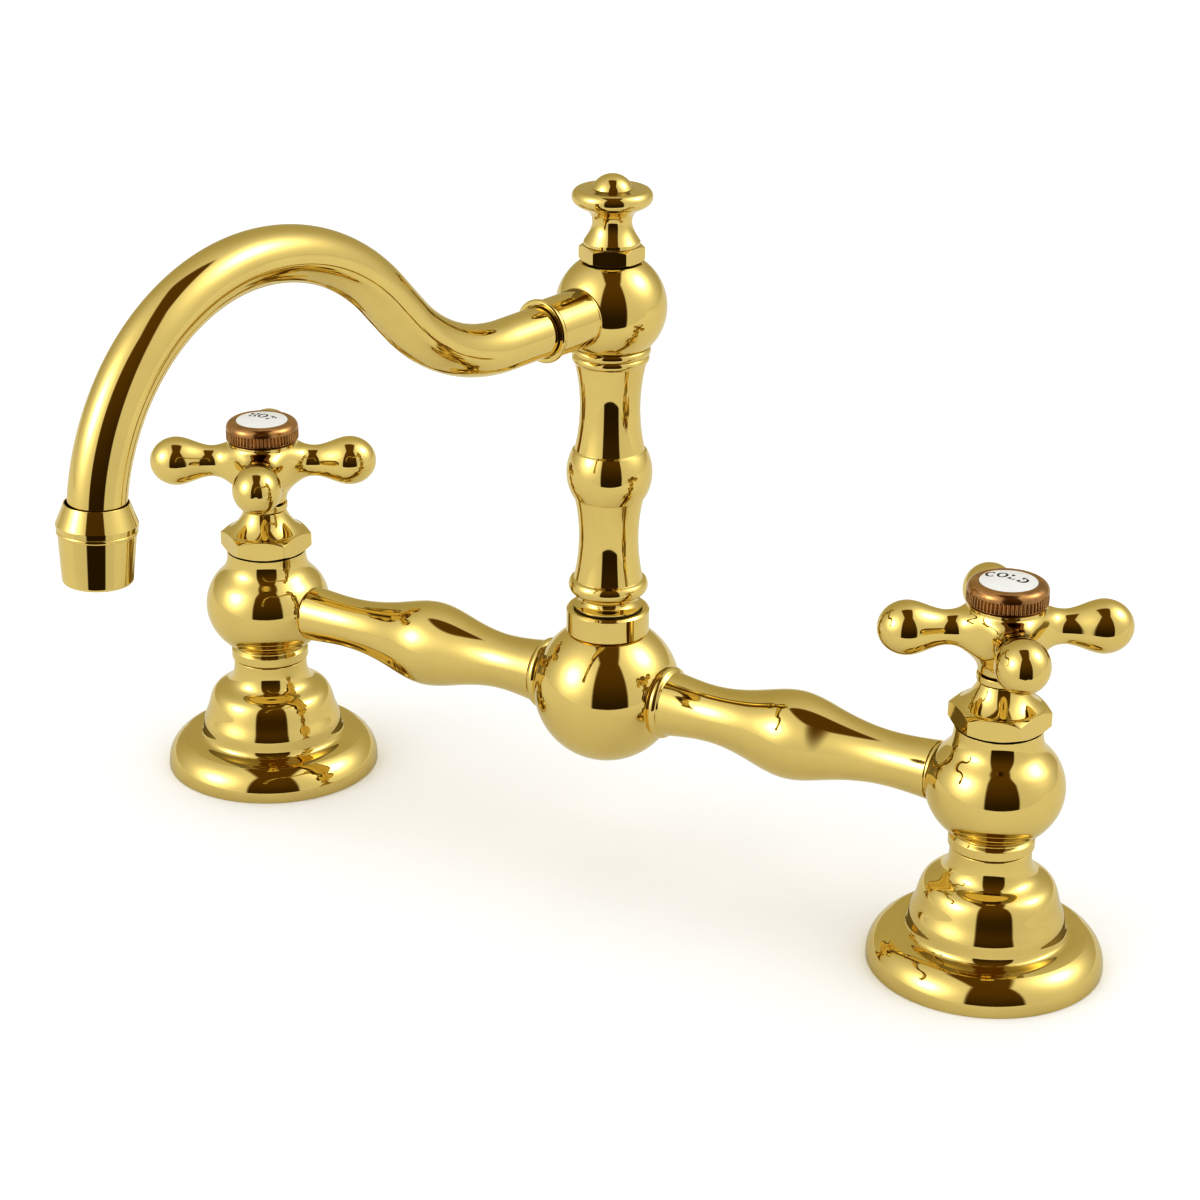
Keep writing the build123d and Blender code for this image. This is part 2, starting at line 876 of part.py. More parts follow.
def spout_column():
    """The turned column between the swivel and the spout head."""
    bead_height = column_foot + lower_bead_rise
    mid_height = column_foot + mid_bead_rise
    top_bead_height = head_seat - top_bead_half
    small_bead_height = top_bead_height - top_bead_half - small_bead_half
    bead_foot = bead_height - lower_bead_half
    bead_top = bead_height + lower_bead_half
    mid_foot = mid_height - mid_bead_half
    mid_top = mid_height + mid_bead_half
    small_foot = small_bead_height - small_bead_half
    lower_waist = (lower_waist_radius, (bead_top + mid_foot) / 2)
    upper_waist = (upper_waist_radius, (mid_top + small_foot) / 2)
    neck_top = (column_neck_radius, column_foot + column_neck_height)
    bead_edge = lower_bead_radius - lower_bead_fall
    small_edge = small_bead_radius - small_bead_fall
    top_edge = top_bead_radius - top_bead_fall
    body = turned(
        (column_bore_radius, column_foot_height()),
        (column_spigot_radius, column_foot_height()),
        (column_spigot_radius, column_foot),
        (column_neck_radius, column_foot),
        neck_top,
        bowed(neck_top, (bead_edge, bead_foot), column_neck_bow),
        ((lower_bead_radius, bead_height), (bead_edge, bead_top)),
        (column_shoulder_radius, bead_top + column_groove),
        (lower_waist, (column_shoulder_radius, mid_foot - column_groove)),
        (mid_bead_edge_radius, mid_foot),
        ((mid_bead_radius, mid_height), (mid_bead_edge_radius, mid_top)),
        (column_shoulder_radius, mid_top + column_groove),
        (upper_waist, (small_edge - column_groove, small_foot - column_groove)),
        (small_edge, small_foot),
        ((small_bead_radius, small_bead_height),
         (small_edge, small_bead_height + small_bead_half)),
        ((top_bead_radius, top_bead_height), (top_edge, head_seat)),
        (head_spigot_radius, head_seat),
        (head_spigot_radius, head_seat + head_spigot_length),
        (column_bore_radius, head_seat + head_spigot_length),
    )
    for height in swivel_seal_heights():
        body -= groove(column_spigot_radius, swivel_seal_section, height)
    clip_seat = tube_ring(
        2 * column_spigot_radius, column_spigot_radius - clip_groove_depth,
        clip_height(), clip_height() + clip_thickness,
    )
    return body - clip_seat


def spout_plane():
    """The upright plane of the spout: X runs outward, Y runs up."""
    bearing = radians(-90 - spout_bearing)
    outward = Vector(cos(bearing), sin(bearing), 0)
    return Plane(
        origin=(0, 0, head_height),
        x_dir=outward,
        z_dir=outward.cross(Vector(0, 0, 1)),
    )


def socket_frame():
    """The frame of the spout socket: its Z runs outward along the socket."""
    plane = spout_plane()
    droop = radians(spout_droop)
    outward = plane.x_dir * cos(droop) - Vector(0, 0, 1) * sin(droop)
    return Plane(origin=plane.origin, x_dir=plane.z_dir, z_dir=outward)


def spout_head():
    """The ball at the top of the column with the socket for the spout."""
    ball = Sphere(head_radius)
    seat = rod(2 * head_radius, -2 * head_radius, -head_seat_drop)
    crown = rod(2 * head_radius, finial_seat_rise, 2 * head_radius)
    ball = Pos(0, 0, head_height) * (ball - seat - crown)
    reach = spout_socket_reach
    bead = socket_bead_radius
    bead_foot = reach - 2 * socket_bead_half
    inner = tube_radius + fit_clearance
    socket = turned(
        (0, 0),
        (spout_socket_radius, 0),
        (spout_socket_radius, bead_foot),
        ((bead, reach - socket_bead_half), (spout_socket_radius, reach)),
        (inner, reach),
        (inner, socket_stop_reach),
        (0, socket_stop_reach),
    )
    frame = socket_frame()
    ball += frame * socket
    tube_seat = rod(inner, socket_stop_reach, 2 * reach)
    waterway = rod(tube_bore_radius, 0, 2 * reach)
    ball = ball - frame * (tube_seat + waterway)
    lower_bore = rod(head_spigot_radius + fit_clearance, head_seat - 1,
                     head_seat + head_spigot_length + fit_clearance)
    chamber = rod(column_bore_radius, head_seat, head_height)
    upper_bore = rod(finial_thread_radius + fit_clearance,
                     head_height + tube_bore_radius, head_height + 2 * head_radius)
    return ball - lower_bore - chamber - upper_bore


def spout_path():
    """The centre line of the spout in its upright plane."""
    start_angle = radians(-spout_droop)
    lead_in = socket_stop_reach + fit_clearance
    start = (lead_in * cos(start_angle), lead_in * sin(start_angle))
    turn_in = (tube_lead * cos(start_angle), tube_lead * sin(start_angle))
    lead = Line(start, turn_in)
    rise = JernArc(lead @ 1, lead % 1, rise_radius, rise_angle + spout_droop)
    straight_end = rise @ 1 + (rise % 1) * rise_length
    straight = Line(rise @ 1, straight_end)
    crest = JernArc(straight @ 1, straight % 1, crest_radius, -rise_angle)
    fall = JernArc(crest @ 1, crest % 1, fall_radius, -fall_angle)
    tip = JernArc(fall @ 1, fall % 1, tip_radius, -tip_angle)
    return Wire([lead, rise, straight, crest, fall, tip])


def spout_tube():
    """The bent spout tube."""
    path = spout_plane() * spout_path()
    frame = Plane(origin=path @ 0, z_dir=path % 0)
    outer = sweep(frame * Circle(tube_radius), path=path)
    inner = sweep(frame * Circle(tube_bore_radius), path=path)
    return outer - inner


def tip_frame():
    """The frame of the nozzle: its Z runs back up the end of the tube."""
    path = spout_plane() * spout_path()
    up_the_tube = (path % 1) * -1
    return Plane(origin=path @ 1, x_dir=spout_plane().z_dir, z_dir=up_the_tube)


def nozzle_collar():
    """The cone-topped collar brazed round the end of the tube."""
    joint = -nozzle_joint_drop
    lip_inner = tube_radius + nozzle_gap
    body = turned(
        (tube_bore_radius, joint - nozzle_thread_length),
        (nozzle_thread_radius, joint - nozzle_thread_length),
        (nozzle_thread_radius, joint),
        (nozzle_joint_radius, joint),
        (nozzle_radius, -nozzle_wide_drop),
        (nozzle_lip_radius, nozzle_lip_rise - nozzle_lip_chamfer),
        (nozzle_lip_radius - nozzle_lip_chamfer, nozzle_lip_rise),
        (lip_inner, nozzle_lip_rise),
        (lip_inner, nozzle_lip_rise - nozzle_bore_depth),
        (tube_radius + fit_clearance, nozzle_lip_rise - nozzle_bore_depth),
        (tube_radius + fit_clearance, 0),
        (tube_bore_radius, 0),
    )
    return tip_frame() * body


def housing_foot():
    """Height of the rim of the aerator housing in the nozzle's frame."""
    return -nozzle_joint_drop - housing_length


def insert_top():
    """Height of the top of the aerator insert in the nozzle's frame."""
    thread_foot = -nozzle_joint_drop - nozzle_thread_length
    return thread_foot - washer_thickness - screen_thickness


def aerator_housing():
    """The tapered cup that screws onto the nozzle collar."""
    foot = housing_foot()
    joint = -nozzle_joint_drop
    thread_bore = nozzle_thread_radius + fit_clearance
    bead_foot = (housing_top_radius, joint - housing_bead_length)
    round_mid = (
        housing_tip_radius - housing_rim_round * (1 - sin(radians(45))),
        foot + housing_rim_round * (1 - cos(radians(45))),
    )
    body = turned(
        (housing_mouth_radius, foot),
        (housing_tip_radius - housing_rim_round, foot),
        (round_mid, (housing_tip_radius, foot + housing_rim_round)),
        bead_foot,
        bowed(bead_foot, (housing_top_radius, joint), housing_bead_bow),
        (thread_bore, joint),
        (thread_bore, foot + housing_ledge),
        (housing_mouth_radius, foot + housing_ledge),
    )
    return tip_frame() * body


def aerator_washer():
    """The rubber washer between the collar and the screen."""
    top = -nozzle_joint_drop - nozzle_thread_length
    return tip_frame() * tube_ring(nozzle_thread_radius, washer_hole_radius,
                                   top - washer_thickness, top)


def aerator_screen():
    """The thin strainer over the insert."""
    bottom = insert_top()
    return tip_frame() * rod(nozzle_thread_radius, bottom, bottom + screen_thickness)


def aerator_insert():
    """The flow straightener in the mouth of the housing."""
    foot = housing_foot() + housing_ledge
    body = turned(
        (0, housing_foot() + housing_ledge / 2),
        (housing_mouth_radius - fit_clearance, housing_foot() + housing_ledge / 2),
        (housing_mouth_radius - fit_clearance, foot),
        (nozzle_thread_radius, foot),
        (nozzle_thread_radius, insert_top()),
        (0, insert_top()),
    )
    hole = rod(insert_hole_radius, housing_foot(), insert_top() + 1)
    holes = [hole]
    for ring in range(1, insert_ring_count + 1):
        places = PolarLocations(ring * insert_hole_pitch, 6 * ring)
        holes += [place * hole for place in places]
    return tip_frame() * (body - holes)


def finial_washer():
    """The thin seal under the finial nut."""
    return tube_ring(finial_washer_radius, finial_thread_radius + fit_clearance,
                     finial_seat, finial_base)


def finial_nut():
    """The hexagonal plug that closes the top of the head."""
    nut = hexagon(finial_flats, finial_base, finial_hex_top)
    stub = rod(finial_thread_radius, finial_base - finial_thread_length, finial_base + 1)
    stud_bore = rod(finial_stud_radius + fit_clearance,
                    finial_hex_top - finial_stud_length, finial_hex_top + 1)
    return Rot(0, 0, finial_turn) * nut + stub - stud_bore


def finial():
    """The turned knob on top: waist, mushroom disc and button."""
    foot = finial_hex_top
    disc = foot + finial_disc_rise
    base_top = (finial_base_radius - finial_base_chamfer, foot + finial_base_height)
    waist = (finial_waist_radius, foot + finial_waist_rise)
    flare = (finial_flare_radius, disc - finial_flare_drop)
    button_foot = disc + finial_button_rise
    button_mid = cap_middle(finial_button_radius, button_foot, finial_button_height)
    return turned(
        (0, foot - finial_stud_length + fit_clearance),
        (finial_stud_radius, foot - finial_stud_length + fit_clearance),
        (finial_stud_radius, foot),
        (finial_base_radius - finial_base_chamfer, foot),
        (finial_base_radius, foot + finial_base_chamfer),
        base_top,
        bowed(base_top, waist, finial_foot_bow),
        bowed(waist, flare, finial_flare_bow),
        (finial_disc_edge_radius, disc - finial_disc_half),
        ((finial_disc_radius, disc), (finial_disc_edge_radius, disc + finial_disc_half)),
        (finial_button_radius, button_foot),
        (button_mid, (0, button_foot + finial_button_height)),
    )


def build():
    """Make every piece and write it in its place."""
    sides = {"hot": -1, "cold": 1}
    turns = {"hot": hot_bonnet_turn, "cold": cold_bonnet_turn}
    like_pieces = {
        "base_flange": base_flange(),
        "deck_gasket": deck_gasket(),
        "inlet_coupling": inlet_coupling(),
        "cartridge_body": cartridge_body(),
        "cartridge_seal": cartridge_seal(),
        "seat_seal": seat_seal(),
        "fixed_disc": fixed_disc(),
        "turning_disc": turning_disc(),
        "stem": stem(),
        "stem_seal": stem_seal(),
        "handle": handle(),
        "handle_screw": handle_screw(),
        "index_ring": index_ring(),
        "index_button": index_button(),
    }
    for name, side in sides.items():
        place = Pos(side * side_reach, 0, 0)
        for piece, shape in like_pieces.items():
            save(place * shape, name + "_" + piece)
        save(place * valve_body(side), name + "_valve_body")
        save(place * bonnet(turns[name]), name + "_bonnet")
        save(bridge_arm(side), name + "_bridge_arm")
        save(Compound(children=arm_seals(side)), name + "_arm_seals")
    save(bridge_ball(), "bridge_ball")
    save(column_collar(), "column_collar")
    save(swivel_bush(), "swivel_bush")
    save(Compound(children=swivel_seals()), "swivel_seals")
    save(retaining_clip(), "retaining_clip")
    save(spout_column(), "spout_column")
    save(spout_head(), "spout_head")
    save(spout_tube(), "spout_tube")
    save(nozzle_collar(), "nozzle_collar")
    save(aerator_housing(), "aerator_housing")
    save(aerator_washer(), "aerator_washer")
    save(aerator_screen(), "aerator_screen")
    save(aerator_insert(), "aerator_insert")
    save(finial_washer(), "finial_washer")
    save(finial_nut(), "finial_nut")
    save(finial(), "finial")


if __name__ == "__main__":
    build()
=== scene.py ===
import json
from math import asin, atan2, ceil, cos, pi, radians, sin, sqrt, tan

import bmesh
import bpy
from bpy.props import FloatProperty, FloatVectorProperty, IntProperty, PointerProperty, StringProperty
from mathutils import Matrix, Vector


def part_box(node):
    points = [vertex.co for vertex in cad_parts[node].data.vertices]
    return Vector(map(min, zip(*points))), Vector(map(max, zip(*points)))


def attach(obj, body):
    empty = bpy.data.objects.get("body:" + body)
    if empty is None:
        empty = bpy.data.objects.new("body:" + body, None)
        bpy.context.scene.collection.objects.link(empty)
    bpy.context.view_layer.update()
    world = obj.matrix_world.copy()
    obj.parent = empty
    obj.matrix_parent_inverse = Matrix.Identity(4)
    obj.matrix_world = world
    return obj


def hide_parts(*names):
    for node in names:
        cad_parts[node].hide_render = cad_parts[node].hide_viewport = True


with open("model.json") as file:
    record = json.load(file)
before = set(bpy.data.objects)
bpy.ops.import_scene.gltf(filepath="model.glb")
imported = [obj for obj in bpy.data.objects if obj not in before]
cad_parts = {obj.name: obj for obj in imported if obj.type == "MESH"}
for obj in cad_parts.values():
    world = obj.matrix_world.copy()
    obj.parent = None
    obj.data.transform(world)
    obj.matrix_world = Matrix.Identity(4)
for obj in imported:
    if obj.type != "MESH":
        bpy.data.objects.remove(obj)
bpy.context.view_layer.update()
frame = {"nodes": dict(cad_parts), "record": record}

bl_info = {
    "name": "Bridge bathroom faucet",
    "version": (1, 0, 0),
    "blender": (4, 5, 0),
    "location": "3D View > Sidebar > Faucet",
    "description": "Dresses the packed bridge faucet in polished brass",
    "category": "Object",
}

MM = 0.001
SIDES = {"hot": -1, "cold": 1}

# Fineness of the meshes
TURNS = 144                 # columns of a turned piece
SLIM_TURNS = 96             # columns of a slim one
ARC_STEP = radians(4)       # longest step along an arc
EDGE_STEP = radians(18)     # longest step round a polished edge
BATTEN_STEP = 0.3 * MM      # longest step along a free curve
LONG_STEP = 0.8 * MM        # the same on the bridge arms
TUBE_STEP = 1.2 * MM        # the same along the spout
CORNER_ANGLE = radians(11)  # a corner that turns less is part of a curve
SHARP_ANGLE = radians(32)   # an edge that turns more is shaded sharp
ON_AXIS = 1e-9              # what is nearer to the axis lies on it
SAME_POINT = 1e-7           # points that are nearer are one


def length(value, name, description):
    """A size that is set in millimetres and kept in metres."""
    return FloatProperty(
        name=name, description=description, default=value * MM, unit="LENGTH", precision=5,
    )


def lengths(values, name, description):
    """Sizes that belong together, set in millimetres and kept in metres."""
    return FloatVectorProperty(
        name=name, description=description, default=[value * MM for value in values],
        size=len(values), unit="LENGTH", precision=5,
    )


def spot(radius, place, name):
    """A radius of a turned piece and its height or reach."""
    return lengths((radius, place), name, "Radius, and height or reach")


def bead(radius, half, proud, name):
    """A round ring on a turned piece."""
    return lengths((radius, half, proud), name, "Radius, half the width, and how proud it is")


def turn(value, name, description):
    """An angle that is set in degrees and kept in radians."""
    return FloatProperty(
        name=name, description=description, default=radians(value), unit="ROTATION",
    )


def share(value, name, description):
    """A plain share or strength."""
    return FloatProperty(
        name=name, description=description, default=value, subtype="FACTOR", precision=3,
    )


def colour(value, name, description):
    """A colour as an sRGB hex value."""
    return StringProperty(name=name, description=description, default=value)


# Sizes of the pieces

class FaucetLayout(bpy.types.PropertyGroup):
    """Sizes that more than one piece uses."""
    gap: length(0.3, "Face gap", "Gap between faces that turn on each other")
    fit: length(0.03, "Fit", "Gap round a spigot in its bore")
    edge: length(0.22, "Edge", "Radius of a polished edge")
    fine_edge: length(0.1, "Fine edge", "Radius of a small polished edge")
    chamfer: turn(30, "Nut chamfer", "Slope of the turned chamfers on the nuts")
    spout_bearing: turn(10, "Spout bearing", "How far the spout points towards the hot side")
    handle_bearing: turn(33, "Handle bearing", "Bearing of the first handle arm")


class FlangeSizes(bpy.types.PropertyGroup):
    """The bell-shaped flange on the deck."""
    wall: length(2.2, "Wall", "Thickness of the spun sheet")
    floor_wall: length(1.4, "Floor wall", "Thickness where the sheet lies flat")
    rim_height: length(1.1, "Rim height", "Height of the upright rim")
    roll: spot(23.1, 7.75, "Inner end of the rim's roll")
    roll_bow: length(1.1, "Roll bow", "How far the roll bulges")
    ledge: spot(20.6, 8.2, "Ledge inside the roll")
    foot: spot(18.45, 8.7, "Foot of the bell")
    foot_side: spot(17.95, 9.8, "Where the bell rises")
    belly: spot(17.75, 12.2, "Widest part of the bell")
    waist: spot(16.65, 15.4, "Slight waist of the bell")
    dome: spot(15.75, 18.6, "Side of the dome")
    crown: spot(14.4, 21.0, "Edge of the dome's crown")
    step: spot(12.4, 22.2, "Middle of the sloping step")
    flare: spot(10.8, 23.2, "Where the neck flares out")
    throat: spot(9.8, 25.0, "Throat of the neck")
    neck: spot(9.35, 27.3, "Foot of the upright neck")


class ValveSizes(bpy.types.PropertyGroup):
    """The ball-shaped valve casting."""
    shank_radius: length(8.25, "Shank radius", "Radius of the shank in the flange")
    collar: spot(9.85, 3.2, "Collar under the ball")
    collar_chamfer: length(0.9, "Collar chamfer", "Chamfer on top of the collar")
    collar_drop: length(11.3, "Collar drop", "Drop from the ball's middle to the collar's top")
    ball: spot(15.85, 13.8, "Ball, with half its full height")
    shoulder_rise: length(7.0, "Shoulder rise", "Rise of the ball's shoulder")
    blend: spot(10.85, 6.6, "Blend from shoulder to neck")
    neck: spot(10.05, 14.8, "Neck under the bonnet, above the ball's middle")
    boss: spot(6.6, 14.8, "Boss behind the bridge arm")
    bore_radius: length(8.0, "Bore radius", "Radius of the cartridge bore")
    floor_drop: length(8.5, "Floor drop", "Drop from the ball's middle to the bore's floor")


class BonnetSizes(bpy.types.PropertyGroup):
    """The hexagonal cap nut over the valve."""
    flats: length(20.2, "Flats", "Width across the flats")
    hex_height: length(4.9, "Hex height", "Height of the hexagon")
    seat_gap: length(0.4, "Seat gap", "Shadow gap under the hexagon")
    hat: spot(9.9, 5.7, "Hollow-sided top: radius of its foot, and height")
    hat_bow: length(-0.71, "Hat bow", "How far the sides draw in")
    top_radius: length(5.3, "Top radius", "Radius of the top")
    bore_radius: length(4.3, "Bore radius", "Radius of the stem's bore")
    hot_turn: turn(29.4, "Hot turn", "How far the hot nut is turned")
    cold_turn: turn(16, "Cold turn", "How far the cold nut is turned")


class HandleSizes(bpy.types.PropertyGroup):
    """The cross handle."""
    foot: spot(5.75, 1.6, "Foot ring")
    waist_radius: length(5.5, "Waist radius", "Radius just above the foot ring")
    hub: spot(8.75, 18.5, "Top of the hub")
    web_radius: length(8.6, "Web radius", "Radius of the webs between the arms")
    arm_height: length(12.6, "Arm height", "Height of the arms' axis above the foot")
    arm_reach: length(28.5, "Arm reach", "Reach of an arm from the axis")
    knob: spot(6.15, 6.7, "Knob of an arm, with the length of its rounded end")
    neck: spot(3.95, 13.0, "Thinnest place of an arm")
    root: spot(5.2, 8.0, "Root of an arm")


class IndexSizes(bpy.types.PropertyGroup):
    """The knurled ring and the porcelain button."""
    radius: length(9.1, "Radius", "Outer radius of the ring")
    height: length(4.95, "Height", "Height of the ring")
    band_height: length(3.25, "Band height", "Height of the upright band")
    rim_radius: length(7.1, "Rim radius", "Radius of the ring's top edge")
    shoulder_bow: length(0.52, "Shoulder bow", "How far the shoulder bulges")
    knurl_count: IntProperty(name="Knurl count", description="Number of ribs", default=60)
    knurl_depth: length(0.42, "Knurl depth", "Depth of a groove of the knurl")
    knurl_start: length(0.5, "Knurl start", "Height where the knurl starts")
    knurl_length: length(2.45, "Knurl length", "Height of the knurl")
    knurl_end: length(0.12, "Knurl end", "Height over which a groove runs out")
    gap: length(0.3, "Gap", "Shadow gap between the ring and the hub")
    gap_depth: length(0.9, "Gap depth", "Depth of the shadow gap")
    button_radius: length(6.5, "Button radius", "Radius of the button")
    button_recess: length(2.0, "Button recess", "Depth of the button's seat")
    button_crown: length(0.45, "Button crown", "Rise of the button's dome")
    letter_width: length(2.35, "Letter width", "Width that the letters' shares are taken of")
    letter_height: length(2.85, "Letter height", "Height of the letters")
    letter_rise: length(0.02, "Letter rise", "Thickness of the fired paint")
    letter_pitch: length(2.6, "Letter pitch", "Distance between the letters")
    word_bow: length(12.0, "Word bow", "Radius of the arc that a word follows")
    word_across: length(-0.9, "Word across", "Sideways place of a word's middle")
    word_up: length(1.7, "Word up", "Place of a word's middle above the button's middle")


class BridgeSizes(bpy.types.PropertyGroup):
    """The bridge arms and the ball between them."""
    ball_radius: length(17.7, "Ball radius", "Radius of the ball")
    face_reach: length(15.6, "Face reach", "Reach of the faces that carry the arms")
    seat_rise: length(15.4, "Seat rise", "Rise of the face that carries the column")
    bore_radius: length(4.0, "Bore radius", "Radius of an arm's waterway")
    spigot_radius: length(5.55, "Spigot radius", "Radius of an arm's spigots")
    spigot_length: length(5.6, "Spigot length", "Length of the spigot in the ball")
    valve_spigot_length: length(6.2, "Valve spigot length", "Length of the spigot in the valve")
    bead: bead(8.75, 1.2, 0.7, "Bead at the ball")
    groove: length(0.3, "Groove", "Width of the groove beside the bead")
    flare_radius: length(7.75, "Flare radius", "Radius beside the bead")
    inner_waist: spot(6.75, 30.0, "Inner waist")
    olive: spot(10.52, 50.9, "Olive")
    shoulder: spot(8.4, 10.6, "Shoulders of the olive, from its middle")
    outer_waist: spot(6.38, 74.0, "Outer waist")
    end_radius: length(6.95, "End radius", "Radius at the valve")


class ColumnSizes(bpy.types.PropertyGroup):
    """The gland nut and the turned column."""
    collar_radius: length(9.9, "Collar radius", "Radius of the gland nut")
    collar_chamfer: length(0.5, "Collar chamfer", "Chamfer on top of the gland nut")
    bore_radius: length(4.5, "Bore radius", "Radius of the waterway")
    spigot_radius: length(6.5, "Spigot radius", "Radius of the spigot in the swivel")
    foot_radius: length(7.7, "Foot radius", "Radius of the column's foot in the gland nut")
    skirt: spot(8.25, 0.45, "Upright edge of the hollow skirt over the gland nut")
    neck: spot(6.4, 2.15, "Neck between the skirt and the lower bead")
    skirt_bow: length(-0.4, "Skirt bow", "How far the skirt draws in")
    foot_bow: length(-0.3, "Foot bow", "How far the foot draws in under the bead")
    lower_rise: length(5.5, "Lower rise", "Height of the lower bead")
    lower_bead: bead(9.45, 1.5, 0.55, "Lower bead")
    shoulder_radius: length(8.2, "Shoulder radius", "Radius at the ends of the waists")
    lower_waist_radius: length(7.05, "Lower waist radius", "Radius of the lower waist")
    mid_rise: length(33.7, "Middle rise", "Height of the middle bead")
    mid_bead: bead(10.12, 5.6, 1.42, "Middle bead")
    upper_waist_radius: length(7.04, "Upper waist radius", "Radius of the upper waist")
    small_bead: bead(9.0, 0.8, 0.3, "Second bead under the head")
    top_bead: bead(9.4, 1.0, 0.5, "Bead under the head")
    groove: length(0.35, "Groove", "Height of the step beside a bead")
    head_spigot: spot(6.0, 6.0, "Spigot in the head")


class HeadSizes(bpy.types.PropertyGroup):
    """The head and its socket."""
    radius: length(12.9, "Radius", "Radius of the ball")
    seat_drop: length(9.3, "Seat drop", "Drop of the seat on the column")
    crown_rise: length(10.6, "Crown rise", "Rise of the face under the finial")
    socket: spot(6.7, 24.6, "Socket")
    socket_blend: length(1.2, "Socket blend", "Radius of the blend at the ball")
    bead: bead(7.35, 0.75, 0.4, "Bead ring")
    mouth_gap: length(0.3, "Mouth gap", "Visible gap between the mouth and the tube")
    mouth_depth: length(0.9, "Mouth depth", "Depth of the visible gap")
    droop: turn(1.5, "Droop", "How far the socket points down")


class SpoutSizes(bpy.types.PropertyGroup):
    """The bent tube."""
    radius: length(5.87, "Radius", "Outer radius of the tube")
    wall: length(1.0, "Wall", "Wall of the tube")
    start_reach: length(12.53, "Start reach", "Where the tube starts in its socket")
    lead: length(35.9, "Lead", "Reach of the first straight run")
    rise_radius: length(42.0, "Rise radius", "Radius of the first bend")
    rise_angle: turn(46.6, "Rise angle", "Slope after the first bend")
    rise_length: length(9.0, "Rise length", "Length of the sloping run")
    crest_radius: length(48.0, "Crest radius", "Radius of the bend up to the crest")
    fall_radius: length(43.5, "Fall radius", "Radius of the bend past the crest")
    fall_angle: turn(54.0, "Fall angle", "Angle of the bend past the crest")
    tip_radius: length(47.0, "Tip radius", "Radius of the last bend")
    tip_angle: turn(33.0, "Tip angle", "Angle of the last bend")


class NozzleSizes(bpy.types.PropertyGroup):
    """The nozzle collar and the aerator; heights are taken from the tube's end."""
    lip: spot(6.4, 3.6, "Lip round the tube")
    lip_gap: length(0.3, "Lip gap", "Gap between the lip and the tube")
    lip_depth: length(2.8, "Lip depth", "Depth of that gap")
    wide: spot(8.05, -0.6, "Widest place")
    joint: spot(7.9, -1.8, "Joint with the housing")
    thread: spot(6.5, 4.0, "Thread")
    housing_length: length(10.9, "Housing length", "Length of the aerator housing")
    top_radius: length(7.75, "Top radius", "Radius of the housing at the joint")
    bead_length: length(0.9, "Bead length", "Width of the fine bead at the joint")
    bead_bow: length(0.23, "Bead bow", "How proud the fine bead is")
    tip_radius: length(6.95, "Tip radius", "Radius of the housing's end")
    rim_round: length(0.8, "Rim round", "Radius of the rounded rim")
    mouth_radius: length(5.7, "Mouth radius", "Radius of the mouth")
    ledge: length(1.3, "Ledge", "Thickness of the ledge in the mouth")


class FinialSizes(bpy.types.PropertyGroup):
    """The finial and its nut; the outline's heights are taken from the nut's top."""
    flats: length(13.2, "Flats", "Width across the nut's flats")
    hex_height: length(3.5, "Hex height", "Height of the nut")
    nut_turn: turn(26, "Nut turn", "How far the nut is turned")
    thread: spot(4.0, 4.0, "Thread of the nut")
    washer_radius: length(6.3, "Washer radius", "Radius of the seal")
    cover: length(0.32, "Cover", "How far the nut hides the seal")
    stud: spot(2.5, 5.0, "Stud of the finial")
    base: spot(6.5, 0.9, "Top of the base")
    bulb: spot(5.6, 2.35, "Side of the bulb")
    waist: spot(4.55, 5.2, "Waist of the stem")
    throat: spot(5.15, 7.4, "Where the stem flares out")
    flare: spot(6.9, 8.7, "Underside of the disc")
    lip: spot(8.75, 9.85, "Lower edge of the disc")
    rim: spot(9.28, 11.3, "Rim of the disc")
    brow: spot(8.45, 12.8, "Upper edge of the disc")
    plate: spot(6.4, 13.05, "Top of the disc")
    button_foot: spot(4.75, 13.2, "Foot of the button")
    button: spot(4.7, 3.15, "Button, with its own height")


class FinishColours(bpy.types.PropertyGroup):
    """Colours and finishes."""
    brass: colour("#F9E49B", "Polished brass", "Buffed brass under its clear coat")
    raw_brass: colour("#DDC488", "Machined brass", "Brass as it leaves the lathe")
    bronze: colour("#DBB07A", "Bronze", "The index rings")
    porcelain: colour("#E7E7E5", "Porcelain", "Glazed white buttons")
    paint: colour("#33302E", "Paint", "Fired lettering")
    rubber: colour("#1C1B1A", "Rubber", "Seals and gaskets")
    plastic: colour("#D9D8D2", "Plastic", "Aerator insert and swivel bush")
    ceramic: colour("#E9E6DD", "Valve ceramic", "Lapped discs")
    steel: colour("#B9BABC", "Stainless steel", "Screws, clip and screen")
    paper: colour("#F7F7F7", "Paper", "The pale floor")
    polish: share(0.045, "Polish", "Roughness of the buffed brass")


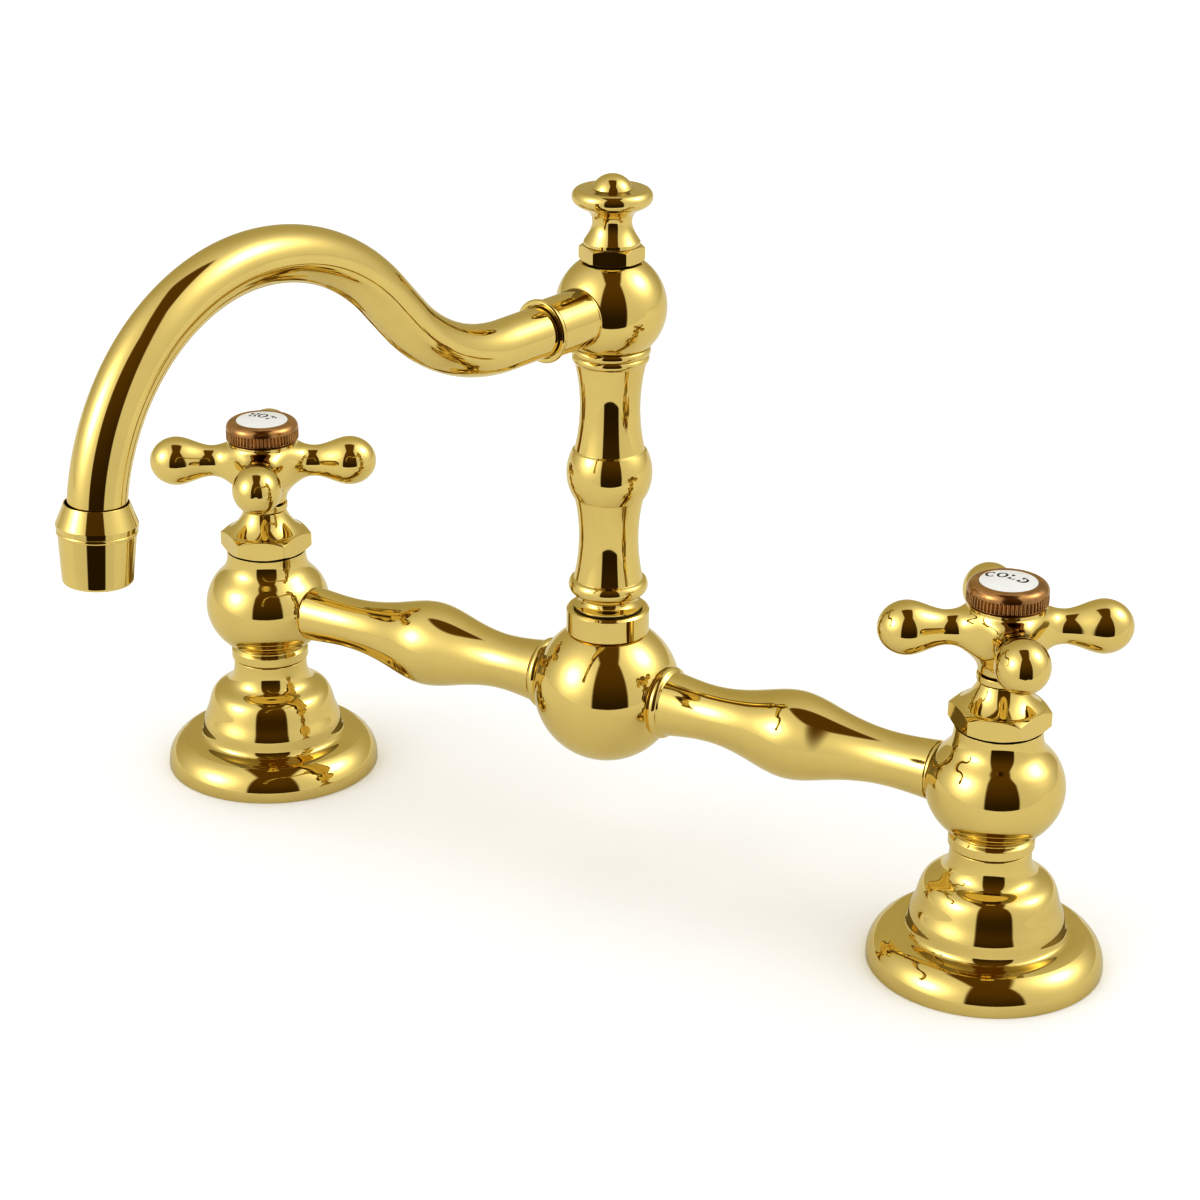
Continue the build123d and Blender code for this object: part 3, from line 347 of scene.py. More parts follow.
class StudioSizes(bpy.types.PropertyGroup):
    """The camera, the lights and the floor."""
    azimuth: turn(30.63, "Azimuth", "The camera's turn about the faucet")
    elevation: turn(22.29, "Elevation", "The camera's height as an angle")
    roll: turn(0.57, "Roll", "The camera's roll")
    distance: length(695.0, "Distance", "From the aimed point to the camera")
    aim_height: length(68.57, "Aim height", "Height of the aimed point")
    aim_offset: length(-1.92, "Aim offset", "Sideways offset of the aimed point")
    lens: FloatProperty(
        name="Lens", description="Focal length on a 36 mm sensor", default=87.46, unit="CAMERA",
    )
    shift: share(-0.0043, "Shift", "Upward shift of the picture")
    floor_size: length(9000, "Floor size", "Side of the square floor")
    table_front: length(240, "Table front", "Where the floor ends in reflections")
    table_lift: length(0.02, "Table lift", "Height of the floor that reflections see")
    table_tone: colour("#D9D9D9", "Table tone", "Tone of the floor in reflections")
    sky_strength: share(1.12, "Sky strength", "Light on matt surfaces")
    box_bearing: turn(60, "Box bearing", "Turn of the two soft boxes from the camera")
    box_elevation: turn(30, "Box elevation", "Height of the soft boxes as an angle")
    box_distance: length(1500, "Box distance", "From the aimed point to a soft box")
    box_size: lengths((900, 1200), "Box size", "Width and height of a soft box")
    box_power: FloatProperty(
        name="Box power", description="Power of a soft box", default=3, unit="POWER",
    )
    wall_strength: share(0.76, "Wall strength", "Light of the tent's front walls")
    back_strength: share(0.56, "Back strength", "Light of the tent's back")
    shade_tone: colour("#FFF2B0", "Shade tone", "Tone of the tent where it is dimmer")
    left_lamp: turn(-65, "Left lamp", "Bearing of the lamp behind the tent's left side")
    left_height: turn(26, "Left lamp height", "Height of the left lamp")
    right_lamp: turn(94, "Right lamp", "Bearing of the lamp behind the tent's right side")
    right_height: turn(42, "Right lamp height", "Height of the right lamp")
    lamp_focus: FloatProperty(
        name="Lamp focus", description="How tightly a lamp's glow gathers", default=20,
    )
    lamp_strength: share(3.3, "Lamp strength", "Light at the middle of a lamp's glow")
    door_turn: turn(6, "Door turn", "Bearing of the tent's dark doorway")
    door_half: turn(29, "Door half", "Half the width of the doorway")
    door_slit: share(0.3, "Door slit", "Half the width of the doorway's slit overhead")
    door_reach: share(0.2, "Door reach", "How far the slit passes the top")
    door_tone: colour("#FFCB40", "Door tone", "Tone of the dark room outside")
    room_dark: share(0.06, "Room dark", "Light of the room outside near its floor")
    room_light: share(0.2, "Room light", "Light of the room outside near its ceiling")
    inner_share: share(0.45, "Inner share", "Light left in reflections of reflections")
    contrast: share(1.5, "Contrast", "How much the picture's contrast is raised")


GROUPS = {
    "layout": FaucetLayout,
    "flange": FlangeSizes,
    "valve": ValveSizes,
    "bonnet": BonnetSizes,
    "handle": HandleSizes,
    "index": IndexSizes,
    "bridge": BridgeSizes,
    "column": ColumnSizes,
    "head": HeadSizes,
    "spout": SpoutSizes,
    "nozzle": NozzleSizes,
    "finial": FinialSizes,
    "finish": FinishColours,
    "studio": StudioSizes,
}


def sizes(name):
    """One group of sizes or colours."""
    return getattr(bpy.context.scene, "faucet_" + name)


# Places taken from the frame

def lowest(node):
    """Height of the lowest point of a node."""
    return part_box(node)[0][2]


def highest(node):
    """Height of the highest point of a node."""
    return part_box(node)[1][2]


def middle(node, axis):
    """Middle of a node's box along one axis."""
    low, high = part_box(node)
    return (low[axis] + high[axis]) / 2


def valve_place(side):
    """The upright axis of a valve, at the deck."""
    return Matrix.Translation((middle(side + "_base_flange", 0), 0, 0))


def bridge_height():
    """Height of the bridge's axis, which runs through the valve balls."""
    return middle("hot_bridge_arm", 2)


# Outlines in the radius and height plane

def bowed(start, end, bow):
    """Points of an arc to the end point, which bows out to the right of its way."""
    chord = end - start
    span = chord.length
    sagitta = abs(bow)
    radius = (span * span / 4 + sagitta * sagitta) / (2 * sagitta)
    along = chord / span
    out = Vector((along.y, -along.x)) * (1 if bow > 0 else -1)
    centre = (start + end) / 2 + out * (sagitta - radius)
    half = atan2(span / 2, radius - sagitta)
    steps = max(4, ceil(2 * half / ARC_STEP))
    angles = [half * (2 * step / steps - 1) for step in range(1, steps + 1)]
    return [centre + out * radius * cos(a) + along * radius * sin(a) for a in angles]


def elliptic(height, across, up, first, last):
    """Points of an ellipse's arc about the axis, both ends included."""
    steps = max(6, ceil(abs(last - first) / ARC_STEP))
    angles = [first + (last - first) * step / steps for step in range(steps + 1)]
    return [Vector((across * cos(a), height + up * sin(a))) for a in angles]


def flowing(knots, step):
    """Points of a smooth curve through the knots, as a bent batten lies."""
    knots = [Vector(knot) for knot in knots]
    spans = [(b - a).length for a, b in zip(knots, knots[1:])]
    count = len(knots)
    bends = [Vector((0, 0)) for _ in knots]
    upper = [0.0] * count
    for i in range(1, count - 1):
        before, after = spans[i - 1], spans[i]
        pull = (knots[i + 1] - knots[i]) / after - (knots[i] - knots[i - 1]) / before
        pivot = 2 * (before + after) - before * upper[i - 1]
        upper[i] = after / pivot
        bends[i] = (6 * pull - before * bends[i - 1]) / pivot
    for i in range(count - 2, 0, -1):
        bends[i] = bends[i] - upper[i] * bends[i + 1]
    points = [knots[0]]
    for i, span in enumerate(spans):
        pieces = max(2, ceil(span / step))
        for piece in range(1, pieces + 1):
            b = piece / pieces
            a = 1 - b
            sag = (a ** 3 - a) * bends[i] + (b ** 3 - b) * bends[i + 1]
            points.append(a * knots[i] + b * knots[i + 1] + sag * span * span / 6)
    return points


def trace(start, *steps):
    """Points of an outline: a step is a point, a point with a bow, or ready points."""
    points = [Vector(start)]
    for step in steps:
        if isinstance(step, list):
            points += step
        elif len(step) == 3:
            points += bowed(points[-1], Vector(step[:2]), step[2])
        else:
            points.append(Vector(step))
    return [p for p, q in zip(points, points[1:] + points[:1]) if (p - q).length > SAME_POINT]


def rounded_corner(before, corner, after, radius):
    """The points that take a corner's place, with one more on each side to hold its ends."""
    into, out = (corner - before), (after - corner)
    turn_angle = into.angle_signed(out)
    if abs(turn_angle) < CORNER_ANGLE or corner.x < ON_AXIS:
        return [corner]
    hold = 1.4
    room = 0.4 * min(into.length, out.length)
    reach = min(radius * tan(abs(turn_angle) / 2), room / hold)
    into.normalize()
    out.normalize()
    inner_radius = reach / tan(abs(turn_angle) / 2)
    side = Vector((into.y, -into.x)) * (1 if turn_angle > 0 else -1)
    first = corner - into * reach
    centre = first + side * inner_radius
    steps = max(3, ceil(abs(turn_angle) / EDGE_STEP))
    points = [corner - into * reach * hold, first]
    for step in range(1, steps):
        a = abs(turn_angle) * step / steps
        points.append(centre - side * inner_radius * cos(a) + into * inner_radius * sin(a))
    return points + [corner + out * reach, corner + out * reach * hold]


def softened(outline, radius_at):
    """A closed outline whose corners are rounded; the radius may depend on the corner."""
    points = []
    for i, corner in enumerate(outline):
        radius = radius_at(corner) if callable(radius_at) else radius_at
        points += rounded_corner(outline[i - 1], corner, outline[(i + 1) % len(outline)], radius)
    return points


# Meshes

def skin(bm, rings):
    """Faces between neighbouring rings of vertices, all round; one vertex is a pole."""
    for lower, upper in zip(rings, rings[1:] + rings[:1]):
        count = max(len(lower), len(upper))
        if count == 1:
            continue
        for k in range(count):
            corners = [
                lower[k % len(lower)], lower[(k + 1) % len(lower)],
                upper[(k + 1) % len(upper)], upper[k % len(upper)],
            ]
            bm.faces.new(list(dict.fromkeys(corners)))


def full_circle(count):
    """Even angles all round."""
    return [2 * pi * k / count for k in range(count)]


def lathe(outline, turns=TURNS):
    """A closed outline turned about Z."""
    bm = bmesh.new()
    rings = []
    for point in outline:
        if point.x < ON_AXIS:
            rings.append([bm.verts.new((0, 0, point.y))])
            continue
        rings.append([bm.verts.new((point.x * cos(a), point.x * sin(a), point.y))
                      for a in full_circle(turns)])
    skin(bm, rings)
    return bm


def columns(angles, outline_at):
    """A closed solid whose outline is worked out anew at each angle about Z."""
    bm = bmesh.new()
    outlines = [outline_at(a) for a in angles]
    skin(bm, [
        [bm.verts.new((o[row].x * cos(a), o[row].x * sin(a), o[row].y))
         for a, o in zip(angles, outlines)]
        for row in range(len(outlines[0]))
    ])
    return bm


def sliced(bm, point, normal):
    """Cut off what lies beyond a plane and close the cut."""
    cut = bmesh.ops.bisect_plane(
        bm, geom=bm.verts[:] + bm.edges[:] + bm.faces[:], dist=SAME_POINT, plane_co=point,
        plane_no=normal, clear_outer=True,
    )
    edges = [e for e in cut["geom_cut"] if isinstance(e, bmesh.types.BMEdge)]
    bmesh.ops.edgeloop_fill(bm, edges=edges)


def take_in(bm, other):
    """Add another mesh to a mesh."""
    scrap = bpy.data.meshes.new("taken_in")
    other.to_mesh(scrap)
    other.free()
    bm.from_mesh(scrap)
    bpy.data.meshes.remove(scrap)


def add_piece(name, bm, body, *nodes, place=Matrix(), finish="polished_brass", slot=None):
    """Turn a mesh into a piece that rides on a body in place of its nodes."""
    bmesh.ops.recalc_face_normals(bm, faces=bm.faces[:])
    bm.transform(place)
    mesh = bpy.data.meshes.new(name)
    bm.to_mesh(mesh)
    bm.free()
    mesh.shade_smooth()
    mesh.set_sharp_from_angle(angle=SHARP_ANGLE)
    mesh.materials.append(finish_of(finish))
    piece = bpy.data.objects.new(name, mesh)
    bpy.context.scene.collection.objects.link(piece)
    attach(piece, body)
    if nodes:
        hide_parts(*nodes)
    slot or finish


def turn_piece(name, outline, edge, body, node, turns=TURNS, **where):
    """Turn an outline about its axis, its corners rounded, and make it a piece."""
    add_piece(name, lathe(softened(outline, edge), turns), body, node, **where)


# Materials

RING_STEP = 0.6 * MM    # turning rings, drawn coarser than real ones so that they show


def linear(hex_value):
    """A linear colour from an sRGB hex value."""
    shades = [int(hex_value[i:i + 2], 16) / 255 for i in (1, 3, 5)]
    return [s / 12.92 if s <= 0.04045 else ((s + 0.055) / 1.055) ** 2.4 for s in shades] + [1]


def darker(hex_value, factor):
    """An sRGB hex value scaled in brightness."""
    shades = [min(255, round(int(hex_value[i:i + 2], 16) * factor)) for i in (1, 3, 5)]
    return "#" + "".join(f"{shade:02X}" for shade in shades)


def add(tree, kind, inputs=None, **settings):
    """Add a node with its settings, values and links."""
    node = tree.nodes.new(kind)
    for key, value in settings.items():
        setattr(node, key, value)
    for key, value in (inputs or {}).items():
        if isinstance(value, bpy.types.NodeSocket):
            tree.links.new(value, node.inputs[key])
        else:
            node.inputs[key].default_value = value
    return node


def surface(name, inputs_of):
    """The material of a name, made once from the inputs of its shader."""
    material = bpy.data.materials.get(name)
    if material is None:
        material = bpy.data.materials.new(name)
        material.use_nodes = True
        tree = material.node_tree
        tree.nodes.clear()
        shader = add(tree, "ShaderNodeBsdfPrincipled", inputs_of(tree))
        add(tree, "ShaderNodeOutputMaterial", {"Surface": shader.outputs["BSDF"]})
    return material


def mottled(tree, size_mm, low, high, detail=3.0):
    """A soft noise of a real size, stretched between two values."""
    place = add(tree, "ShaderNodeTexCoord")
    noise = add(tree, "ShaderNodeTexNoise", {
        "Vector": place.outputs["Object"], "Scale": 1 / (size_mm * MM), "Detail": detail,
    })
    spread = add(tree, "ShaderNodeMapRange", {
        "Value": noise.outputs["Fac"], "From Min": 0.3, "From Max": 0.7,
        "To Min": low, "To Max": high,
    })
    return spread.outputs["Result"]


def clouded(tree, size_mm, hex_value, factor):
    """A colour that drifts to a darker one over a real size."""
    mix = add(tree, "ShaderNodeMix", {
        0: mottled(tree, size_mm, 0, 1), 6: linear(hex_value),
        7: linear(darker(hex_value, factor)),
    }, data_type="RGBA")
    return mix.outputs[2]


def grained(tree, size_mm, depth_mm, strength, detail=3.0):
    """A fine relief of a real size and depth."""
    relief = add(tree, "ShaderNodeBump", {
        "Height": mottled(tree, size_mm, 0, 1, detail), "Strength": strength,
        "Distance": depth_mm * MM,
    })
    return relief.outputs["Normal"]


def polished_brass():
    """Cast and turned brass, buffed to a mirror and lacquered.

    The buffing leaves long soft waves that make reflections swim a little, and
    the lacquer a faint haze that is not quite even.
    """
    finish = sizes("finish")
    return surface("polished_lacquered_brass", lambda tree: {
        "Base Color": clouded(tree, 14, finish.brass, 0.975), "Metallic": 1.0,
        "Roughness": mottled(tree, 5, finish.polish * 0.8, finish.polish * 1.25),
        "Normal": grained(tree, 9, 0.1, 0.05, 1.0),
    })


def machined_brass():
    """Brass as the lathe leaves it: satin, with turning rings drawn coarse enough to show."""
    def inputs_of(tree):
        place = add(tree, "ShaderNodeTexCoord")
        rings = add(tree, "ShaderNodeTexWave", {
            "Vector": place.outputs["Object"], "Scale": 1 / (RING_STEP * 2 * pi),
            "Distortion": 0.4,
        }, wave_type="BANDS", bands_direction="Z")
        marks = add(tree, "ShaderNodeBump", {
            "Height": rings.outputs["Fac"], "Strength": 0.25, "Distance": 0.02 * MM,
        })
        return {
            "Base Color": clouded(tree, 6, sizes("finish").raw_brass, 0.9), "Metallic": 1.0,
            "Roughness": 0.32, "Normal": marks.outputs["Normal"],
        }
    return surface("machined_brass", inputs_of)


def satin_bronze():
    """Oiled bronze, satin turned: browner and softer than the body."""
    return surface("satin_bronze", lambda tree: {
        "Base Color": clouded(tree, 3, sizes("finish").bronze, 0.86), "Metallic": 1.0,
        "Roughness": mottled(tree, 2, 0.15, 0.21), "Normal": grained(tree, 0.5, 0.02, 0.12),
    })


def glazed_porcelain():
    """Fired porcelain under a clear glaze: white, glossy, a trace of orange peel."""
    return surface("glazed_porcelain", lambda tree: {
        "Base Color": clouded(tree, 2.5, sizes("finish").porcelain, 0.985),
        "Roughness": 0.07, "IOR": 1.52, "Normal": grained(tree, 0.9, 0.02, 0.04),
    })


SHOWN_FINISHES = {
    "polished_brass": polished_brass,
    "raw_brass": machined_brass,
    "bronze": satin_bronze,
    "porcelain": glazed_porcelain,
}

# Plain finishes: name, colour, metallic, roughness, and the width and depth of the grain in mm
PLAIN_FINISHES = {
    # Ceramic paint fired on the glaze: dark grey and slightly matt
    "fired_paint": ("fired_paint", "paint", 0.0, 0.45, 0.2, 0.005),
    # Moulded black rubber: matt with a fine skin
    "seal_rubber": ("moulded_rubber", "rubber", 0.0, 0.7, 0.3, 0.02),
    # Moulded off-white acetal: half matt
    "bearing_plastic": ("moulded_acetal", "plastic", 0.0, 0.42, 0.3, 0.01),
    # Lapped alumina ceramic: smooth and chalky
    "valve_ceramic": ("lapped_alumina", "ceramic", 0.0, 0.25, 0.2, 0.005),
    # Rolled stainless steel: grey and satin
    "spring_steel": ("rolled_stainless_steel", "steel", 1.0, 0.28, 0.4, 0.01),
}


def finish_of(slot):
    """The material of a slot."""
    if slot in SHOWN_FINISHES:
        return SHOWN_FINISHES[slot]()
    name, tone, metallic, roughness, grain_mm, depth_mm = PLAIN_FINISHES[slot]
    return surface(name, lambda tree: {
        "Base Color": clouded(tree, 4, getattr(sizes("finish"), tone), 0.93),
        "Metallic": metallic, "Roughness": mottled(tree, 3, roughness * 0.9, roughness * 1.1),
        "Normal": grained(tree, grain_mm, depth_mm, 0.3),
    })


# Flanges, valves and nuts

class FAUCET_OT_base_flanges(bpy.types.Operator):
    """Spin the bell-shaped flanges that stand on the deck"""
    bl_idname = "faucet.base_flanges"
    bl_label = "Base flanges"

    def execute(self, context):
        layout, flange = sizes("layout"), sizes("flange")
        shank = sizes("valve").shank_radius + layout.fit
        bell = [flange.roll, flange.ledge, flange.foot, flange.foot_side, flange.belly,
                flange.waist, flange.dome, flange.crown, flange.step, flange.flare,
                flange.throat, flange.neck]
        hollow = [(radius - flange.wall, height - flange.floor_wall)
                  for radius, height in bell[:9]]
        for side in SIDES:
            node = side + "_base_flange"
            low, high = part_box(node)
            rim_radius = (high[0] - low[0]) / 2
            outline = trace(
                (rim_radius, 0),
                (rim_radius, flange.rim_height),
                (*flange.roll, flange.roll_bow),
                flowing(bell, BATTEN_STEP),
                (flange.neck[0], high[2]),
                (shank, high[2]),
                (shank, hollow[-1][1]),
                flowing(hollow[::-1], BATTEN_STEP * 2),
                (rim_radius - flange.wall, flange.rim_height, -flange.roll_bow),
                (rim_radius - flange.wall, 0),
            )
            turn_piece(side + "_flange_bell", outline, layout.edge, "faucet_body", node,
                       place=valve_place(side))
        return {"FINISHED"}


class FAUCET_OT_valves(bpy.types.Operator):
    """Cast the two ball-shaped valves"""
    bl_idname = "faucet.valves"
    bl_label = "Valves"

    def execute(self, context):
        layout, valve = sizes("layout"), sizes("valve")
        boss_radius, boss_reach = valve.boss
        boss = trace((0, 0), (boss_radius, 0), (boss_radius, boss_reach), (0, boss_reach))
        height = bridge_height()
        for side, sign in SIDES.items():
            bm = lathe(softened(self.casting(valve, height), layout.edge))
            sliced(bm, (-sign * boss_reach, 0, 0), (-sign, 0, 0))
            bar = lathe(softened(boss, layout.fine_edge), SLIM_TURNS)
            bar.transform(Matrix.Translation((0, 0, height))
                          @ Matrix.Rotation(-sign * pi / 2, 4, "Y"))
            take_in(bm, bar)
            add_piece(side + "_valve_casting", bm, "faucet_body", side + "_valve_body",
                      place=valve_place(side))
        return {"FINISHED"}

    def casting(self, valve, height):
        """The outline of the casting: shank, collar, ball and neck."""
        foot, floor = lowest("hot_valve_body"), height - valve.floor_drop
        collar_radius, collar_height = valve.collar
        collar_top = height - valve.collar_drop
        ball_radius, half_height = valve.ball
        ball = elliptic(height, ball_radius, half_height, -asin(valve.collar_drop / half_height),
                        asin(valve.shoulder_rise / half_height))
        neck_radius, neck_rise = valve.neck
        blend_radius, blend_length = valve.blend
        blend_foot = height + valve.shoulder_rise
        blend = [Vector((blend_radius, blend_foot + blend_length / 2)),
                 Vector((neck_radius, blend_foot + blend_length)),
                 Vector((neck_radius, height + neck_rise))]
        return trace(
            (0, foot),
            (valve.shank_radius, foot),
            (valve.shank_radius, collar_top - collar_height),
            (collar_radius, collar_top - collar_height),
            (collar_radius, collar_top - valve.collar_chamfer),
            ball[:-2],
            flowing(ball[-3:] + blend, BATTEN_STEP),
            (valve.bore_radius, height + neck_rise),
            (valve.bore_radius, floor),
            (0, floor),
        )


def nut_corner(flats, radius):
    """Where the round of a nut's corner has its centre, and the angle at which it ends."""
    centre = (flats / 2 - radius) / cos(pi / 6)
    return centre, atan2(radius * sin(pi / 6), centre + radius * cos(pi / 6))


def nut_reach(angle, flats, radius):
    """Distance from the axis to a hexagon with rounded corners."""
    from_flat = (angle + pi / 6) % (pi / 3) - pi / 6
    from_corner = pi / 6 - abs(from_flat)
    centre, tangent = nut_corner(flats, radius)
    if from_corner >= tangent:
        return flats / 2 / cos(from_flat)
    across = centre * sin(from_corner)
    return centre * cos(from_corner) + sqrt(radius ** 2 - across ** 2)


def nut_angles(flats, radius):
    """Angles for a hexagon's columns, crowded at its corners."""
    tangent = nut_corner(flats, radius)[1]
    beyond = 1.5 * tangent      # a column past the round, so that the flat stays flat
    near = [tangent * k / 4 for k in range(5)] + [beyond]
    offsets = near + [pi / 6 - (pi / 6 - beyond) * (1 - k / 8) for k in range(1, 9)]
    one_side = sorted(set([-o for o in offsets[:-1]] + offsets))
    return [corner * pi / 3 + pi / 6 + o for corner in range(6) for o in one_side]


def nut_side(reach, flats, bottom, top, slope, edge):
    """The outer side of a nut at one angle, from its lower to its upper face."""
    run = reach - flats / 2
    rise = run * tan(slope)
    shorten = edge * (tan(slope / 2) + tan((pi / 2 - slope) / 2))
    chamfer = max(0.0, sqrt(run * run + rise * rise) - shorten)
    outer = reach - edge
    inner = outer - chamfer * cos(slope)
    side_start = bottom + edge + chamfer * sin(slope)
    rounds = [(-pi / 2 + slope * k / 2, inner, bottom + edge) for k in range(3)]
    rounds += [(-pi / 2 + slope + (pi / 2 - slope) * k / 4, outer, side_start) for k in range(5)]
    lower = [Vector((r + edge * cos(a), z + edge * sin(a))) for a, r, z in rounds]
    hold = edge * 0.5
    both = bottom + top
    supports = [lower[-1] + Vector((0, hold)), Vector((reach, both - lower[-1].y - hold))]
    upper = [Vector((p.x, both - p.y)) for p in reversed(lower)]
    return lower + supports + upper


def mill_nut(name, flats, corner, bottom, top, rest, turned_by, body, node, place=Matrix()):
    """Mill a hexagonal nut; the rest of its outline is the same at every angle."""
    layout = sizes("layout")

    def outline_at(angle):
        reach = nut_reach(angle, flats, corner)
        return nut_side(reach, flats, bottom, top, layout.chamfer, layout.fine_edge) + rest

    bm = columns(nut_angles(flats, corner), outline_at)
    add_piece(name, bm, body, node,
              place=place @ Matrix.Rotation(turned_by + pi / 6, 4, "Z"))


class FAUCET_OT_bonnets(bpy.types.Operator):
    """Turn and mill the two hexagonal bonnets"""
    bl_idname = "faucet.bonnets"
    bl_label = "Bonnets"

    def execute(self, context):
        layout, bonnet = sizes("layout"), sizes("bonnet")
        bottom = bridge_height() + sizes("valve").neck[1] + bonnet.seat_gap
        top = bottom + bonnet.hex_height
        hat_radius, hat_height = bonnet.hat
        hat = trace(
            (hat_radius, top),
            (bonnet.top_radius, top + hat_height, bonnet.hat_bow),
            (bonnet.bore_radius, top + hat_height),
            (bonnet.bore_radius, bottom),
            (bonnet.bore_radius + layout.edge, bottom),
        )
        hat = [hat[0]] + [p for corners in zip(hat, hat[1:], hat[2:])
                          for p in rounded_corner(*corners, layout.edge)]
        turns = {"hot": bonnet.hot_turn, "cold": bonnet.cold_turn}
        for side in SIDES:
            mill_nut(side + "_bonnet_nut", bonnet.flats, layout.edge, bottom, top, hat,
                     turns[side], "faucet_body", side + "_bonnet", valve_place(side))
        return {"FINISHED"}


# Handles

CAGE_SWELL = 1.108      # how much wider a cage of eight sides is than its smooth surface
CAGE_LEVELS = 3         # how often the cage is divided
CAGE_HOLD = 0.3 * MM    # a last loop that keeps an end crisp
FOOT_LAP = 0.3 * MM     # how far the foot ring's top reaches into the waist
TIP_SWELL = 1.01        # how much longer than the arm its cage is
ROUND_START = 1.12      # where an arm starts to be round, as a share of its root's reach


def eased(t):
    """A smooth passage from 0 to 1."""
    return t * t * (3 - 2 * t)


def arm_radius(handle, reach):
    """Radius of a handle arm's pear shape at a reach from the axis."""
    knob_radius, knob_length = handle.knob
    neck_radius, neck_reach = handle.neck
    root_radius, root_reach = handle.root
    knob_centre = handle.arm_reach - knob_length
    if reach >= knob_centre:
        share_out = min(1.0, (reach - knob_centre) / knob_length)
        return knob_radius * sqrt(max(0.0, 1 - share_out ** 2))
    if reach >= neck_reach:
        ease = eased((reach - neck_reach) / (knob_centre - neck_reach))
        return neck_radius + (knob_radius - neck_radius) * ease
    t = (neck_reach - reach) / (neck_reach - root_reach)
    return neck_radius + (root_radius - neck_radius) * t * t


def handle_cage(handle, base):
    """The coarse cage of a cross handle: a hub of eight sides with four arms."""
    bm = bmesh.new()
    axis = base + handle.arm_height
    foot_top = base + handle.foot[1]
    hub_radius, hub_height = handle.hub
    waist, web = handle.waist_radius, handle.web_radius
    arm_root = handle.root[0]
    levels = [      # height, radius towards the arms, radius between them
        (foot_top + 0.25 * MM, waist, waist),                       # foot of the waist
        (foot_top + 0.6 * MM, waist, waist),                        # keeps it crisp
        (base + 4.6 * MM, waist * 1.1, waist * 1.1),                # the waist opens
        (axis - arm_root * 1.05, hub_radius, web * 0.93),           # under the arms
        (axis, hub_radius, web),                                    # through the arms
        (axis + arm_root * 0.9, hub_radius, web),                   # over the arms
        (base + hub_height - CAGE_HOLD, hub_radius, hub_radius),    # keeps the top crisp
        (base + hub_height, hub_radius, hub_radius),                # top of the hub
    ]
    low_row, mid_row, high_row = 3, 4, 5
    eighths = full_circle(8)

    def loop(points):
        return [bm.verts.new(point) for point in points]

    def wrap(lower, upper):
        for k in range(8):
            bm.faces.new([lower[k], lower[(k + 1) % 8], upper[(k + 1) % 8], upper[k]])

    rings = []
    for height, arm_side, web_side in levels:
        radii = [CAGE_SWELL * (web_side if k % 2 else arm_side) for k in range(8)]
        rings.append(loop((r * cos(a), r * sin(a), height) for r, a in zip(radii, eighths)))
    for row, (lower, upper) in enumerate(zip(rings, rings[1:])):
        if not low_row <= row < high_row:
            wrap(lower, upper)
    bm.faces.new(rings[0])
    bm.faces.new(rings[-1])
    knob_length, neck_reach = handle.knob[1], handle.neck[1]
    knob_centre = handle.arm_reach - knob_length
    reaches = [
        handle.root[1] * 1.3,                   # past the root, where the arm comes free
        neck_reach,
        (neck_reach + knob_centre) / 2,
        knob_centre,
        knob_centre + knob_length * 0.55,       # two rings for the knob's rounded end
        knob_centre + knob_length * 0.95,
    ]
    for arm in range(0, 8, 2):
        left, right = (arm + 1) % 8, (arm - 1) % 8
        low, mid, high = rings[low_row], rings[mid_row], rings[high_row]
        previous = [mid[left], high[left], high[arm], high[right], mid[right], low[right],
                    low[arm], low[left]]
        place = Matrix.Translation((0, 0, axis)) @ Matrix.Rotation(arm * pi / 4, 4, "Z")
        for reach in reaches:
            radius = arm_radius(handle, reach) * CAGE_SWELL
            ring = loop(place @ Vector((reach, radius * cos(a), radius * sin(a)))
                        for a in eighths)
            wrap(previous, ring)
            previous = ring
        tip = bm.verts.new(place @ Vector((handle.arm_reach * TIP_SWELL, 0, 0)))
        for k in range(0, 8, 2):
            bm.faces.new([previous[k], previous[k + 1], previous[(k + 2) % 8], tip])
    bmesh.ops.recalc_face_normals(bm, faces=bm.faces[:])
    return bm


def subdivided(bm):
    """The smooth surface of a coarse cage."""
    mesh = bpy.data.meshes.new("cage")
    bm.to_mesh(mesh)
    bm.free()
    cage = bpy.data.objects.new("cage", mesh)
    bpy.context.scene.collection.objects.link(cage)
    modifier = cage.modifiers.new("smooth", "SUBSURF")
    modifier.levels = modifier.render_levels = CAGE_LEVELS
    evaluated = cage.evaluated_get(bpy.context.evaluated_depsgraph_get())
    smooth = bpy.data.meshes.new_from_object(evaluated)
    result = bmesh.new()
    result.from_mesh(smooth)
    bpy.data.objects.remove(cage)
    bpy.data.meshes.remove(mesh)
    bpy.data.meshes.remove(smooth)
    return result


def round_arms(bm, handle, base):
    """Draw the arms of the smooth handle out to their exact round shape."""
    axis = base + handle.arm_height
    start, full = handle.root[1] * ROUND_START, handle.neck[1]
    for vert in bm.verts:
        x, y, z = vert.co.x, vert.co.y, vert.co.z - axis
        along_x = abs(x) > abs(y)
        out, across = (x, y) if along_x else (y, x)
        reach = min(abs(out), handle.arm_reach)
        radius = sqrt(across * across + z * z)
        if reach < start or radius < ON_AXIS:
            continue
        weight = eased(min(1.0, (reach - start) / (full - start)))
        factor = 1 + (arm_radius(handle, reach) / radius - 1) * weight
        if along_x:
            vert.co.y *= factor
        else:
            vert.co.x *= factor
        vert.co.z = axis + z * factor


